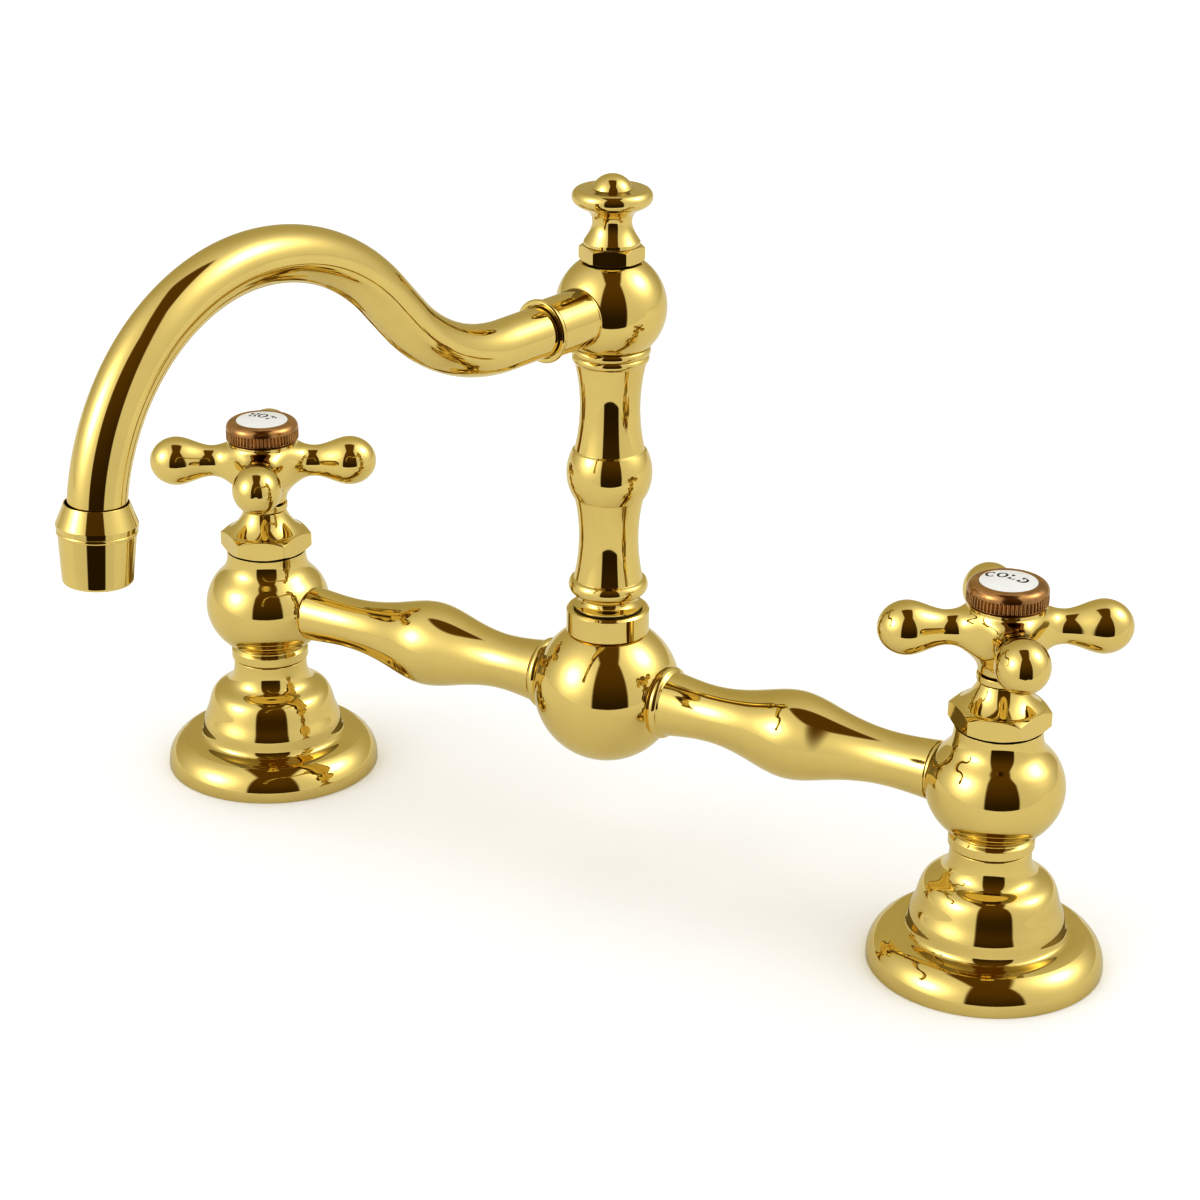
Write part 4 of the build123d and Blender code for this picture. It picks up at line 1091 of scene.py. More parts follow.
class FAUCET_OT_handles(bpy.types.Operator):
    """Shape the two cross handles"""
    bl_idname = "faucet.handles"
    bl_label = "Cross handles"

    def execute(self, context):
        layout, handle = sizes("layout"), sizes("handle")
        foot_radius, foot_height = handle.foot
        for side in SIDES:
            base = lowest(side + "_handle")
            bm = subdivided(handle_cage(handle, base))
            round_arms(bm, handle, base)
            foot = trace((0, base), (foot_radius, base), (foot_radius, base + foot_height),
                         (0, base + foot_height + FOOT_LAP))
            take_in(bm, lathe(softened(foot, layout.edge), SLIM_TURNS))
            add_piece(side + "_cross_handle", bm, side + "_handle", side + "_handle",
                      place=valve_place(side) @ Matrix.Rotation(layout.handle_bearing, 4, "Z"))
        return {"FINISHED"}


class FAUCET_OT_index_rings(bpy.types.Operator):
    """Turn and knurl the two index rings"""
    bl_idname = "faucet.index_rings"
    bl_label = "Index rings"
    samples = 8         # columns from rib to rib
    groove_half = 0.3   # half the width of a groove, as a share of the pitch

    def execute(self, context):
        layout, index = sizes("layout"), sizes("index")
        bottom = lowest("hot_handle") + sizes("handle").hub[1]
        top = bottom + index.height
        seat = index.button_radius + layout.fit
        floor = top - index.button_recess
        underside = bottom + index.gap
        foot = softened(trace(
            (seat, floor),
            (seat, bottom),
            (index.radius - index.gap_depth, bottom),
            (index.radius - index.gap_depth, underside),
            (index.radius - layout.fine_edge, underside),
            (index.radius, underside + layout.fine_edge),
        ), layout.fine_edge)
        start, end = index.knurl_start, index.knurl_start + index.knurl_length
        rows = [start, start + index.knurl_end, end - index.knurl_end, end]
        crown = softened(trace(
            (index.radius, bottom + index.band_height),
            (index.rim_radius, top, index.shoulder_bow),
            (seat, top),
            (seat, floor + layout.fit),
        ), layout.fine_edge)

        def outline_at(angle):
            phase = (angle * index.knurl_count / (2 * pi)) % 1
            groove = index.knurl_depth * max(0.0, 1 - abs(phase - 0.5) / self.groove_half)
            band = [Vector((index.radius - depth, bottom + row))
                    for row, depth in zip(rows, (0, groove, groove, 0))]
            return foot + band + crown

        for side in SIDES:
            bm = columns(full_circle(index.knurl_count * self.samples), outline_at)
            add_piece(side + "_knurled_ring", bm, side + "_handle", side + "_index_ring",
                      place=valve_place(side), finish="bronze")
        return {"FINISHED"}


# Letters: each stroke is a row of points with a width at each point. Widths and heights are
# shares of the letter's height, and sideways places are shares of its width.

THICK, THIN, FOOT, SERIF = 0.2, 0.1, 0.08, 0.07


def upright(x):
    """A stem with its two serifs."""
    reach = 0.17
    return [[(x, 0.0, THICK), (x, 1.0, THICK)]] + [
        [(x - reach, y, FOOT), (x + reach, y, FOOT)] for y in (0.04, 0.96)
    ]


def tick(x, first, last):
    """A fine upright serif at the end of a stroke."""
    return [(x, first, SERIF), (x, last, SERIF)]


def oval(first, last, across=0.42):
    """An oval stroke, thick at its sides and thin at top and bottom."""
    points = []
    for step in range(25):
        a = radians(first + (last - first) * step / 24)
        points.append((across * cos(a), 0.5 + 0.46 * sin(a), THIN + 0.12 * abs(cos(a)) ** 1.5))
    return points


def bowl():
    """The round side of a D, with its ends led back to the stem."""
    side = [(x * 0.95 - 0.1, y, wide) for x, y, wide in oval(-90, 90, 0.48)]
    ends = [[(-0.3, y, THIN), (-0.1, y, THIN)] for y in (0.04, 0.96)]
    return ends[0] + side + ends[1][::-1]


# The strokes of each plain serif letter, about the middle of its foot
LETTERS = {
    "H": upright(-0.3) + upright(0.3) + [[(-0.3, 0.5, THIN), (0.3, 0.5, THIN)]],
    "O": [oval(0, 360)],
    "T": upright(0) + [[(-0.36, 0.95, THIN), (0.36, 0.95, THIN)], tick(-0.36, 0.98, 0.76),
                       tick(0.36, 0.98, 0.76)],
    "C": [oval(52, 308), tick(0.29, 0.98, 0.7)],
    "L": upright(-0.22) + [[(-0.22, 0.05, THIN), (0.34, 0.05, THIN)], tick(0.34, 0.02, 0.3)],
    "D": upright(-0.25) + [bowl()],
}


def dome_height(index, radius, edge_height):
    """Height of the button's dome at a radius."""
    crown = index.button_crown
    sphere = (index.button_radius ** 2 + crown ** 2) / (2 * crown)
    return edge_height + crown - sphere + sqrt(sphere ** 2 - radius ** 2)


def stroke_edges(stroke):
    """The two edges of a stroke at each of its points."""
    edges = []
    for i, (x, y, wide) in enumerate(stroke):
        ahead, behind = stroke[min(i + 1, len(stroke) - 1)], stroke[max(i - 1, 0)]
        way = Vector((ahead[0] - behind[0], ahead[1] - behind[1])).normalized()
        across = Vector((-way.y, way.x)) * wide / 2
        edges.append([Vector((x, y)) + across, Vector((x, y)) - across])
    return edges


def painted_word(word, index, edge_height):
    """A word painted on the dome along an arc, as thin raised strips."""
    bm = bmesh.new()
    pitch_angle = index.letter_pitch / index.word_bow
    centre_up = index.word_up - index.word_bow

    def on_dome(point, bearing):
        reach = index.word_bow + (point.y - 0.5) * index.letter_height
        angle = bearing - point.x * index.letter_width / index.word_bow
        x, y = index.word_across + reach * cos(angle), centre_up + reach * sin(angle)
        return Vector((x, y, dome_height(index, sqrt(x * x + y * y), edge_height)))

    for place, letter in enumerate(word):
        bearing = pi / 2 - (place - (len(word) - 1) / 2) * pitch_angle
        for stroke in LETTERS[letter]:
            edges = stroke_edges(stroke)
            for (a, b), (c, d) in zip(edges, edges[1:]):
                corners = [on_dome(point, bearing) for point in (a, b, d, c)]
                rise = Vector((0, 0, index.letter_rise))
                lower = [bm.verts.new(corner - rise) for corner in corners]
                upper = [bm.verts.new(corner + rise) for corner in corners]
                bm.faces.new(upper)
                bm.faces.new(lower[::-1])
                for i in range(4):
                    j = (i + 1) % 4
                    bm.faces.new([lower[i], lower[j], upper[j], upper[i]])
    return bm


class FAUCET_OT_index_buttons(bpy.types.Operator):
    """Glaze and letter the two porcelain buttons"""
    bl_idname = "faucet.index_buttons"
    bl_label = "Index buttons"
    dome_steps = 24

    def execute(self, context):
        index = sizes("index")
        bottom, top = lowest("hot_index_button"), highest("hot_index_button")
        edge_height = top - index.button_crown
        reaches = [index.button_radius * (1 - k / self.dome_steps)
                   for k in range(1, self.dome_steps)]
        outline = trace(
            (0, bottom),
            (index.button_radius, bottom),
            (index.button_radius, edge_height),
            [Vector((r, dome_height(index, r, edge_height))) for r in reaches],
            (0, top),
        )
        for side in SIDES:
            turn_piece(side + "_porcelain_button", outline, sizes("layout").edge,
                       side + "_handle", side + "_index_button", SLIM_TURNS,
                       place=valve_place(side), finish="porcelain")
            add_piece(side + "_button_lettering",
                      painted_word(side.upper(), index, edge_height), side + "_handle",
                      place=valve_place(side), finish="fired_paint", slot="porcelain")
        return {"FINISHED"}


# Bridge and column

class FAUCET_OT_bridge(bpy.types.Operator):
    """Turn the bridge arms and the ball between them"""
    bl_idname = "faucet.bridge"
    bl_label = "Bridge"

    def execute(self, context):
        layout, bridge = sizes("layout"), sizes("bridge")
        centre = Matrix.Translation((0, 0, bridge_height()))
        face = bridge.face_reach
        spigot_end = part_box("cold_bridge_arm")[1][0]
        end = spigot_end - bridge.valve_spigot_length
        bead_radius, bead_half, proud = bridge.bead
        bead_foot, bead_end = bead_radius - proud, face + 2 * bead_half
        shoulder_radius, shoulder_offset = bridge.shoulder
        olive_reach = bridge.olive[1]
        outline = trace(
            (bridge.bore_radius, face - bridge.spigot_length),
            (bridge.spigot_radius, face - bridge.spigot_length),
            (bridge.spigot_radius, face),
            (bead_foot, face),
            (bead_foot, bead_end, proud),
            flowing([
                (bridge.flare_radius, bead_end + bridge.groove),
                bridge.inner_waist,
                (shoulder_radius, olive_reach - shoulder_offset),
                bridge.olive,
                (shoulder_radius, olive_reach + shoulder_offset),
                bridge.outer_waist,
                (bridge.end_radius, end),
            ], LONG_STEP),
            (bridge.spigot_radius, end),
            (bridge.spigot_radius, spigot_end),
            (bridge.bore_radius, spigot_end),
        )
        for side, sign in SIDES.items():
            turn_piece(side + "_turned_arm", outline, layout.fine_edge, "faucet_body",
                       side + "_bridge_arm",
                       place=centre @ Matrix.Rotation(sign * pi / 2, 4, "Y"))
        radius = bridge.ball_radius
        sphere = elliptic(0, radius, radius, -pi / 2, asin(bridge.seat_rise / radius))
        sphere[0].x = 0
        bm = lathe(trace((0, bridge.seat_rise), sphere)[::-1])
        for sign in SIDES.values():
            sliced(bm, (sign * face, 0, 0), (sign, 0, 0))
        add_piece("bridge_centre_ball", bm, "faucet_body", "bridge_ball", place=centre)
        return {"FINISHED"}


class FAUCET_OT_column(bpy.types.Operator):
    """Turn the gland nut and the column"""
    bl_idname = "faucet.column"
    bl_label = "Column"

    def execute(self, context):
        layout, column = sizes("layout"), sizes("column")
        seat = bridge_height() + sizes("bridge").seat_rise
        collar_top = highest("column_collar")
        bore = column.foot_radius + layout.gap
        collar = trace(
            (bore, seat),
            (column.collar_radius, seat),
            (column.collar_radius, collar_top - column.collar_chamfer),
            (column.collar_radius - column.collar_chamfer, collar_top),
            (bore, collar_top),
        )
        turn_piece("column_gland_nut", collar, layout.fine_edge, "faucet_body", "column_collar")
        turn_piece("turned_column", self.outline(column, collar_top + layout.gap),
                   layout.fine_edge, "spout", "spout_column")
        return {"FINISHED"}

    def outline(self, column, foot):
        """The column from its spigot to the spigot in the head."""
        bottom, head_seat = lowest("spout_column"), lowest("spout_head")
        groove, shoulder = column.groove, column.shoulder_radius
        lower_radius, lower_half, lower_proud = column.lower_bead
        mid_radius, mid_half, mid_proud = column.mid_bead
        small_radius, small_half, small_proud = column.small_bead
        top_radius, top_half, top_proud = column.top_bead
        lower, mid = foot + column.lower_rise, foot + column.mid_rise
        small_top = head_seat - 2 * top_half
        small_foot = small_top - 2 * small_half
        small_edge = small_radius - small_proud
        waist_top = Vector((small_edge - groove, small_foot - groove))
        upper_bow = column.upper_waist_radius - (shoulder + waist_top.x) / 2
        neck_radius, neck_rise = column.neck
        skirt_radius, skirt_height = column.skirt
        spigot_radius, spigot_length = column.head_spigot
        return trace(
            (column.bore_radius, bottom),
            (column.spigot_radius, bottom),
            (column.spigot_radius, foot),
            (skirt_radius, foot),
            (skirt_radius, foot + skirt_height),
            (neck_radius, foot + neck_rise, column.skirt_bow),
            (lower_radius - lower_proud, lower - lower_half, column.foot_bow),
            (lower_radius - lower_proud, lower + lower_half, lower_proud),
            (shoulder, lower + lower_half + groove),
            (shoulder, mid - mid_half - groove, column.lower_waist_radius - shoulder),
            (mid_radius - mid_proud, mid - mid_half),
            (mid_radius - mid_proud, mid + mid_half, mid_proud),
            (shoulder, mid + mid_half + groove),
            (*waist_top, upper_bow),
            (small_edge, small_foot),
            (small_edge, small_top, small_proud),
            (top_radius - top_proud, head_seat, top_proud),
            (spigot_radius, head_seat),
            (spigot_radius, head_seat + spigot_length),
            (column.bore_radius, head_seat + spigot_length),
        )


# Spout, nozzle and finial

def spout_place():
    """The middle of the head, with X along the way the spout points."""
    height = lowest("spout_head") + sizes("head").seat_drop
    bearing = -pi / 2 - sizes("layout").spout_bearing
    return Matrix.Translation((0, 0, height)) @ Matrix.Rotation(bearing, 4, "Z")


def spout_line():
    """Points and slopes along the tube's middle, in its upright plane."""
    spout, droop = sizes("spout"), sizes("head").droop
    here = Vector((spout.start_reach * cos(droop), -spout.start_reach * sin(droop)))
    slope = -droop
    runs = [
        (spout.lead - spout.start_reach, 0.0),
        (spout.rise_radius * (spout.rise_angle + droop), 1 / spout.rise_radius),
        (spout.rise_length, 0.0),
        (spout.crest_radius * spout.rise_angle, -1 / spout.crest_radius),
        (spout.fall_radius * spout.fall_angle, -1 / spout.fall_radius),
        (spout.tip_radius * spout.tip_angle, -1 / spout.tip_radius),
    ]
    line = [(here, slope)]
    for run, bend in runs:
        pieces = max(2, ceil(run / TUBE_STEP))
        step = run / pieces
        for _ in range(pieces):
            middle_slope = slope + bend * step / 2
            here = here + Vector((cos(middle_slope), sin(middle_slope))) * step
            slope += bend * step
            line.append((here, slope))
    return line


class FAUCET_OT_spout(bpy.types.Operator):
    """Form the head and bend the spout tube"""
    bl_idname = "faucet.spout"
    bl_label = "Head and spout"

    def execute(self, context):
        layout, head, spout = sizes("layout"), sizes("head"), sizes("spout")
        self.make_head(layout, head, spout)
        self.make_tube(spout)
        return {"FINISHED"}

    def make_head(self, layout, head, spout):
        """The ball and socket, turned about the socket's axis and faced off."""
        socket_radius, mouth = head.socket
        meet = sqrt(head.radius ** 2 - socket_radius ** 2)
        sphere = elliptic(0, head.radius, head.radius, -pi / 2, asin(meet / head.radius))
        bead_radius, bead_half, proud = head.bead
        bead_foot = mouth - 2 * bead_half
        inner = spout.radius + head.mouth_gap
        snug = spout.radius + layout.fit
        depth = mouth - head.mouth_depth
        outline = trace(
            (0, -head.radius), sphere[1:],
            (socket_radius, bead_foot),
            (bead_radius - proud, bead_foot),
            (bead_radius - proud, mouth, proud),
            (inner, mouth),
            (inner, depth),
            (snug, depth),
            (snug, spout.start_reach),
            (0, spout.start_reach),
        )

        def radius_at(corner):
            at_the_ball = abs(corner.y - meet) < 10 * SAME_POINT
            return head.socket_blend if at_the_ball else layout.fine_edge

        bm = lathe(softened(outline, radius_at))
        bm.transform(Matrix.Rotation(pi / 2 + head.droop, 4, "Y"))
        sliced(bm, (0, 0, -head.seat_drop), (0, 0, -1))
        sliced(bm, (0, 0, head.crown_rise), (0, 0, 1))
        add_piece("head_ball_and_socket", bm, "spout", "spout_head", place=spout_place())

    def make_tube(self, spout):
        """The tube, outside and inside."""
        line = spout_line()
        bm = bmesh.new()

        def ring_at(point, slope, radius):
            up = Vector((-sin(slope), cos(slope))) * radius
            return [bm.verts.new((point.x + up.x * cos(a), radius * sin(a),
                                  point.y + up.y * cos(a))) for a in full_circle(SLIM_TURNS)]

        rings = [ring_at(*place, spout.radius) for place in line]
        rings += [ring_at(*place, spout.radius - spout.wall) for place in line[::-1]]
        skin(bm, rings)
        add_piece("bent_spout_tube", bm, "spout", "spout_tube", place=spout_place())


class FAUCET_OT_nozzle(bpy.types.Operator):
    """Turn the nozzle collar and the aerator housing"""
    bl_idname = "faucet.nozzle"
    bl_label = "Nozzle"

    def execute(self, context):
        layout, spout, nozzle = sizes("layout"), sizes("spout"), sizes("nozzle")
        end, slope = spout_line()[-1]
        place = (spout_place() @ Matrix.Translation((end.x, 0, end.y))
                 @ Matrix.Rotation(-pi / 2 - slope, 4, "Y"))
        joint = nozzle.joint[1]
        thread_radius, thread_length = nozzle.thread
        lip_radius, lip_top = nozzle.lip
        lip_inner = spout.radius + nozzle.lip_gap
        lip_floor = lip_top - nozzle.lip_depth
        snug = spout.radius + layout.fit
        bore = spout.radius - spout.wall
        collar = trace(
            (bore, joint - thread_length),
            (thread_radius, joint - thread_length),
            (thread_radius, joint),
            nozzle.joint,
            nozzle.wide,
            (lip_radius, lip_top),
            (lip_inner, lip_top),
            (lip_inner, lip_floor),
            (snug, lip_floor),
            (snug, 0),
            (bore, 0),
        )
        turn_piece("nozzle_cone", collar, layout.fine_edge, "spout", "nozzle_collar",
                   place=place)
        foot = joint - nozzle.housing_length
        rim = nozzle.rim_round
        thread_bore = thread_radius + layout.fit
        housing = trace(
            (nozzle.mouth_radius, foot),
            (nozzle.tip_radius - rim, foot),
            (nozzle.tip_radius, foot + rim, rim * (1 - sqrt(0.5))),
            (nozzle.top_radius - layout.fine_edge, joint - nozzle.bead_length),
            (nozzle.top_radius, joint, nozzle.bead_bow),
            (thread_bore, joint),
            (thread_bore, foot + nozzle.ledge),
            (nozzle.mouth_radius, foot + nozzle.ledge),
        )
        turn_piece("aerator_cup", housing, layout.fine_edge, "spout", "aerator_housing",
                   place=place)
        return {"FINISHED"}


class FAUCET_OT_finial(bpy.types.Operator):
    """Turn the finial and mill its nut"""
    bl_idname = "faucet.finial"
    bl_label = "Finial"

    def execute(self, context):
        layout, finial = sizes("layout"), sizes("finial")
        bottom = highest("finial_washer")
        foot = bottom + finial.hex_height
        stud_radius, stud_length = finial.stud
        stud_bore = stud_radius + layout.fit
        thread_radius, thread_length = finial.thread
        hollow = finial.washer_radius + layout.fit
        inside = trace(
            (stud_bore, foot),
            (stud_bore, foot - stud_length),
            (thread_radius, bottom - thread_length),
            (thread_radius, bottom),
            (hollow, bottom),
            (hollow, bottom - finial.cover),
        )
        mill_nut("finial_hex_nut", finial.flats, layout.fine_edge, bottom - finial.cover, foot,
                 inside, finial.nut_turn, "spout", "finial_nut")
        radius, height = finial.button
        sphere = (radius ** 2 + height ** 2) / (2 * height)
        button = elliptic(foot + finial.button_foot[1] + height - sphere, sphere, sphere,
                          pi / 2 - 2 * atan2(height, radius), pi / 2)
        button[-1].x = 0
        knob = [finial.base, finial.bulb, finial.waist, finial.throat, finial.flare, finial.lip,
                finial.rim, finial.brow, finial.plate, finial.button_foot]
        stud_end = foot - stud_length + layout.fit
        outline = trace(
            (0, stud_end),
            (stud_radius, stud_end),
            (stud_radius, foot),
            (finial.base[0], foot),
            flowing([(r, foot + z) for r, z in knob], BATTEN_STEP),
            button,
        )
        turn_piece("finial_knob", outline, layout.edge, "spout", "finial")
        return {"FINISHED"}


class FAUCET_OT_inner_finishes(bpy.types.Operator):
    """Give every remaining node the finish of its slot"""
    bl_idname = "faucet.inner_finishes"
    bl_label = "Inner finishes"

    def execute(self, context):
        slots = {row["node"]: row["material_slot"] for row in frame["record"]["subparts"]}
        for node, obj in frame["nodes"].items():
            obj.data.materials.clear()
            obj.data.materials.append(finish_of(slots[node]))
        return {"FINISHED"}


# Studio: soft passages of the light tent, along parts of a direction of length 1

WALL_PASSAGE = (-1.0, 0.2)      # along Y, from the tent's back to its front walls
ROOM_PASSAGE = (-0.4, 0.9)      # along Z, from the dark room's floor to its ceiling
DOOR_PASSAGE = (-0.02, 0.06)    # across the doorway's outline
DOOR_ROUND = 0.12               # how softly the doorway's sides meet its ends
SHADE_MARGIN = 0.1              # how far below the back's light the shade tone is full
SENSOR_WIDTH = 36               # in mm, which the lens is given for
FAR_END = 30                    # in metres, past the floor's far corner


def tent_light(tree, studio):
    """How bright the tent is, where its doorway is, and how bright the room outside is.

    The direction is turned so that Y points from the faucet to the front of the tent.
    The doorway starts at the table, widens towards the front and runs on overhead as a slit.
    """
    place = add(tree, "ShaderNodeTexCoord")
    turned = add(tree, "ShaderNodeMapping", {
        "Vector": place.outputs["Generated"], "Rotation": (0, 0, pi - studio.azimuth),
    })
    parts = add(tree, "ShaderNodeSeparateXYZ", {"Vector": turned.outputs["Vector"]})
    x, y, z = parts.outputs
    walls = add(tree, "ShaderNodeMapRange", {
        "Value": y, "From Min": WALL_PASSAGE[0], "From Max": WALL_PASSAGE[1],
        "To Min": studio.back_strength, "To Max": studio.wall_strength,
    }, interpolation_type="SMOOTHSTEP")
    light = walls.outputs["Result"]
    lamps = ((studio.left_lamp, studio.left_height), (studio.right_lamp, studio.right_height))
    for bearing, rise in lamps:
        lamp = (-sin(bearing) * cos(rise), cos(bearing) * cos(rise), sin(rise))
        near_lamp = add(tree, "ShaderNodeVectorMath", {
            0: turned.outputs["Vector"], 1: lamp,
        }, operation="DOT_PRODUCT")
        away = add(tree, "ShaderNodeMath", {
            0: near_lamp.outputs["Value"], 1: -studio.lamp_focus, 2: 1.0 + studio.lamp_focus,
        }, operation="MULTIPLY_ADD")
        glow = add(tree, "ShaderNodeMath", {0: away.outputs[0], 1: -2.0}, operation="POWER")
        lit = add(tree, "ShaderNodeMath", {
            0: glow.outputs[0], 1: studio.lamp_strength, 2: light,
        }, operation="MULTIPLY_ADD")
        light = lit.outputs[0]
    beside = add(tree, "ShaderNodeMath", {0: y, 1: tan(studio.door_turn), 2: x},
                 operation="MULTIPLY_ADD")
    side = add(tree, "ShaderNodeMath", {0: beside.outputs[0]}, operation="ABSOLUTE")
    front = add(tree, "ShaderNodeMath", {0: y, 1: tan(studio.door_half)}, operation="MULTIPLY")
    slit = add(tree, "ShaderNodeMath", {0: z, 1: studio.door_slit}, operation="MULTIPLY")
    wide = add(tree, "ShaderNodeMath", {0: front.outputs[0], 1: slit.outputs[0]},
               operation="MAXIMUM")
    inside = add(tree, "ShaderNodeMath", {0: wide.outputs[0], 1: side.outputs[0]},
                 operation="SUBTRACT")
    ahead = add(tree, "ShaderNodeMath", {0: z, 1: studio.door_reach, 2: y},
                operation="MULTIPLY_ADD")
    door = add(tree, "ShaderNodeMath", {
        0: inside.outputs[0], 1: ahead.outputs[0], 2: DOOR_ROUND,
    }, operation="SMOOTH_MIN")
    doorway = add(tree, "ShaderNodeMapRange", {
        "Value": door.outputs[0], "From Min": DOOR_PASSAGE[0], "From Max": DOOR_PASSAGE[1],
    }, interpolation_type="SMOOTHSTEP")
    room = add(tree, "ShaderNodeMapRange", {
        "Value": z, "From Min": ROOM_PASSAGE[0], "From Max": ROOM_PASSAGE[1],
        "To Min": studio.room_dark, "To Max": studio.room_light,
    }, interpolation_type="SMOOTHSTEP")
    return light, doorway.outputs["Result"], room.outputs["Result"]


def studio_world(studio):
    """A light tent with a dark doorway, which matt surfaces see as an even white sky."""
    world = bpy.data.worlds.new("light_tent")
    bpy.context.scene.world = world
    world.use_nodes = True
    tree = world.node_tree
    tree.nodes.clear()
    light, doorway, room = tent_light(tree, studio)
    ray = add(tree, "ShaderNodeLightPath")
    sky = add(tree, "ShaderNodeBackground", {
        "Color": linear("#FFFFFF"), "Strength": studio.sky_strength,
    })
    inner = add(tree, "ShaderNodeMapRange", {
        "Value": ray.outputs["Glossy Depth"], "From Min": 1.0, "From Max": 2.0,
        "To Min": 1.0, "To Max": studio.inner_share,
    })
    left = add(tree, "ShaderNodeMath", {0: light, 1: inner.outputs["Result"]},
               operation="MULTIPLY")
    deep = add(tree, "ShaderNodeMapRange", {
        "Value": light, "From Min": studio.back_strength - SHADE_MARGIN,
        "From Max": studio.wall_strength,
    })
    cloth = add(tree, "ShaderNodeMix", {
        0: deep.outputs["Result"], 6: linear(studio.shade_tone), 7: linear("#FFFFFF"),
    }, data_type="RGBA")
    tent = add(tree, "ShaderNodeBackground", {
        "Color": cloth.outputs[2], "Strength": left.outputs[0],
    })
    outside = add(tree, "ShaderNodeBackground", {
        "Color": linear(studio.door_tone), "Strength": room,
    })
    seen = add(tree, "ShaderNodeMixShader", {
        0: doorway, 1: tent.outputs["Background"], 2: outside.outputs["Background"],
    })
    both = add(tree, "ShaderNodeMixShader", {
        0: ray.outputs["Is Glossy Ray"], 1: sky.outputs["Background"], 2: seen.outputs["Shader"],
    })
    add(tree, "ShaderNodeOutputWorld", {"Surface": both.outputs["Shader"]})


def way_to(bearing, rise):
    """The direction from the faucet at a bearing from the front and an angle of rise."""
    return Vector((sin(bearing) * cos(rise), -cos(bearing) * cos(rise), sin(rise)))


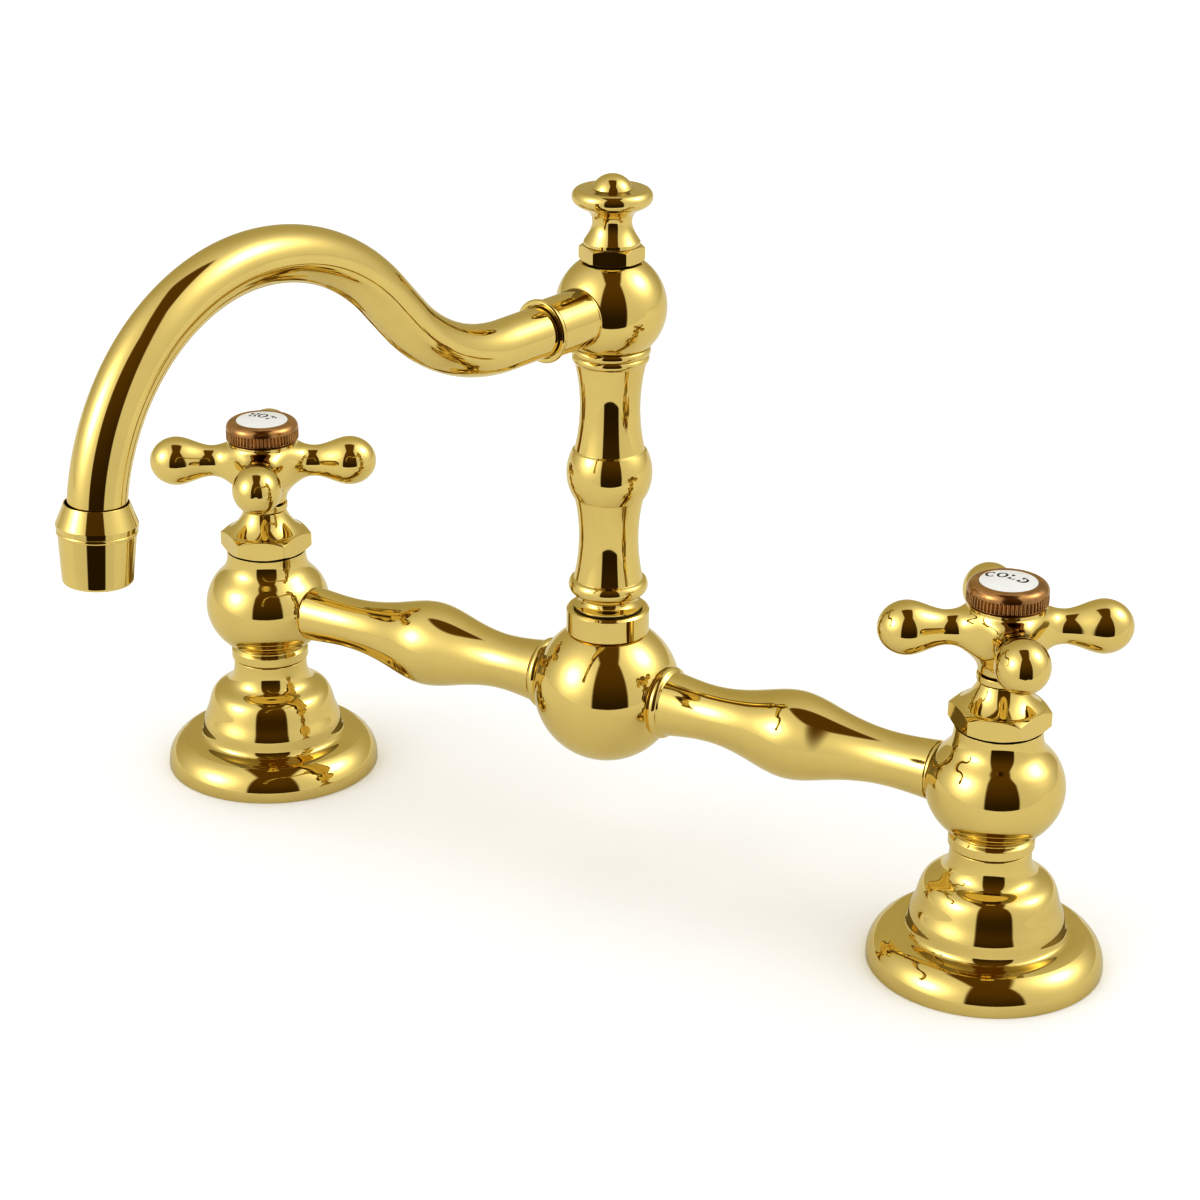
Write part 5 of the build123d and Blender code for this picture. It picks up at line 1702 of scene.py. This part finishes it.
class FAUCET_OT_stage(bpy.types.Operator):
    """Set up the floor, the lights and the camera"""
    bl_idname = "faucet.stage"
    bl_label = "Stage"

    def execute(self, context):
        studio = sizes("studio")
        context.scene.view_settings.view_transform = "Standard"
        context.scene.view_settings.gamma = 1 / studio.contrast
        studio_world(studio)
        half = studio.floor_size / 2
        floor = self.make_floor("pale_floor", half, half, 0.0, sizes("finish").paper)
        floor.visible_glossy = False
        mirrored = self.make_floor("floor_in_reflections", half, studio.table_front,
                                   studio.table_lift, studio.table_tone)
        for kind in ("camera", "diffuse", "transmission", "shadow"):
            setattr(mirrored, "visible_" + kind, False)
        self.make_soft_box("left_soft_box", studio, -studio.box_bearing)
        self.make_soft_box("right_soft_box", studio, studio.box_bearing)
        self.make_camera(studio)
        return {"FINISHED"}

    def make_floor(self, name, half, front, height, tone):
        """A pale floor; the one that only reflections see ends in front of the faucet."""
        mesh = bpy.data.meshes.new(name)
        corners = [(-half, -front, height), (half, -front, height), (half, half, height),
                   (-half, half, height)]
        mesh.from_pydata(corners, [], [(0, 1, 2, 3)])
        mesh.transform(Matrix.Rotation(sizes("studio").azimuth, 4, "Z"))
        mesh.materials.append(surface(name + "_paper", lambda tree: {
            "Base Color": clouded(tree, 60, tone, 0.99), "Roughness": 0.9,
            "Specular IOR Level": 0.1,
        }))
        floor = bpy.data.objects.new(name, mesh)
        bpy.context.scene.collection.objects.link(floor)
        return floor

    def make_soft_box(self, name, studio, bearing):
        """A large area light aimed at the faucet, which shapes the matt surfaces."""
        light = bpy.data.lights.new(name, "AREA")
        light.shape = "RECTANGLE"
        light.size, light.size_y = studio.box_size
        light.energy = studio.box_power
        lamp = bpy.data.objects.new(name, light)
        way = way_to(studio.azimuth + bearing, studio.box_elevation)
        aim = Vector((0, 0, studio.aim_height))
        lamp.matrix_world = (Matrix.Translation(aim + way * studio.box_distance)
                             @ way.to_track_quat("Z", "Y").to_matrix().to_4x4())
        lamp.visible_camera = False
        lamp.visible_glossy = False
        bpy.context.scene.collection.objects.link(lamp)

    def make_camera(self, studio):
        """The camera at the photograph's place."""
        back = way_to(studio.azimuth, studio.elevation)
        level = Vector((cos(studio.azimuth), sin(studio.azimuth), 0))
        upward = back.cross(level)
        right = level * cos(studio.roll) + upward * sin(studio.roll)
        up = upward * cos(studio.roll) - level * sin(studio.roll)
        place = level * studio.aim_offset + back * studio.distance
        place.z += studio.aim_height
        data = bpy.data.cameras.new("photo_camera")
        data.lens = studio.lens
        data.sensor_width = SENSOR_WIDTH
        data.shift_y = studio.shift
        data.clip_end = FAR_END
        camera = bpy.data.objects.new("photo_camera", data)
        turned = Matrix((right, up, back)).transposed().to_4x4()
        camera.matrix_world = Matrix.Translation(place) @ turned
        bpy.context.scene.collection.objects.link(camera)
        bpy.context.scene.camera = camera


OPERATORS = [
    FAUCET_OT_inner_finishes,
    FAUCET_OT_base_flanges,
    FAUCET_OT_valves,
    FAUCET_OT_bonnets,
    FAUCET_OT_handles,
    FAUCET_OT_index_rings,
    FAUCET_OT_index_buttons,
    FAUCET_OT_bridge,
    FAUCET_OT_column,
    FAUCET_OT_spout,
    FAUCET_OT_nozzle,
    FAUCET_OT_finial,
    FAUCET_OT_stage,
]


class FAUCET_PT_pieces(bpy.types.Panel):
    """Lists the steps that dress the faucet"""
    bl_idname = "FAUCET_PT_pieces"
    bl_label = "Bridge faucet"
    bl_space_type = "VIEW_3D"
    bl_region_type = "UI"
    bl_category = "Faucet"

    def draw(self, context):
        for operator in OPERATORS:
            self.layout.operator(operator.bl_idname)
        for name in GROUPS:
            group = sizes(name)
            box = self.layout.box()
            box.label(text=name.title())
            for key in group.bl_rna.properties.keys():
                if key not in ("rna_type", "name"):
                    box.prop(group, key)


CLASSES = [*GROUPS.values(), *OPERATORS, FAUCET_PT_pieces]


def register():
    for kind in CLASSES:
        bpy.utils.register_class(kind)
    for name, group in GROUPS.items():
        setattr(bpy.types.Scene, "faucet_" + name, PointerProperty(type=group))


def unregister():
    for name in GROUPS:
        delattr(bpy.types.Scene, "faucet_" + name)
    for kind in reversed(CLASSES):
        bpy.utils.unregister_class(kind)


def main():
    """Register everything and make the pieces in order."""
    register()
    for operator in OPERATORS:
        group, name = operator.bl_idname.split(".")
        getattr(getattr(bpy.ops, group), name)()
    bpy.context.view_layer.update()


if __name__ == "__main__":
    main()
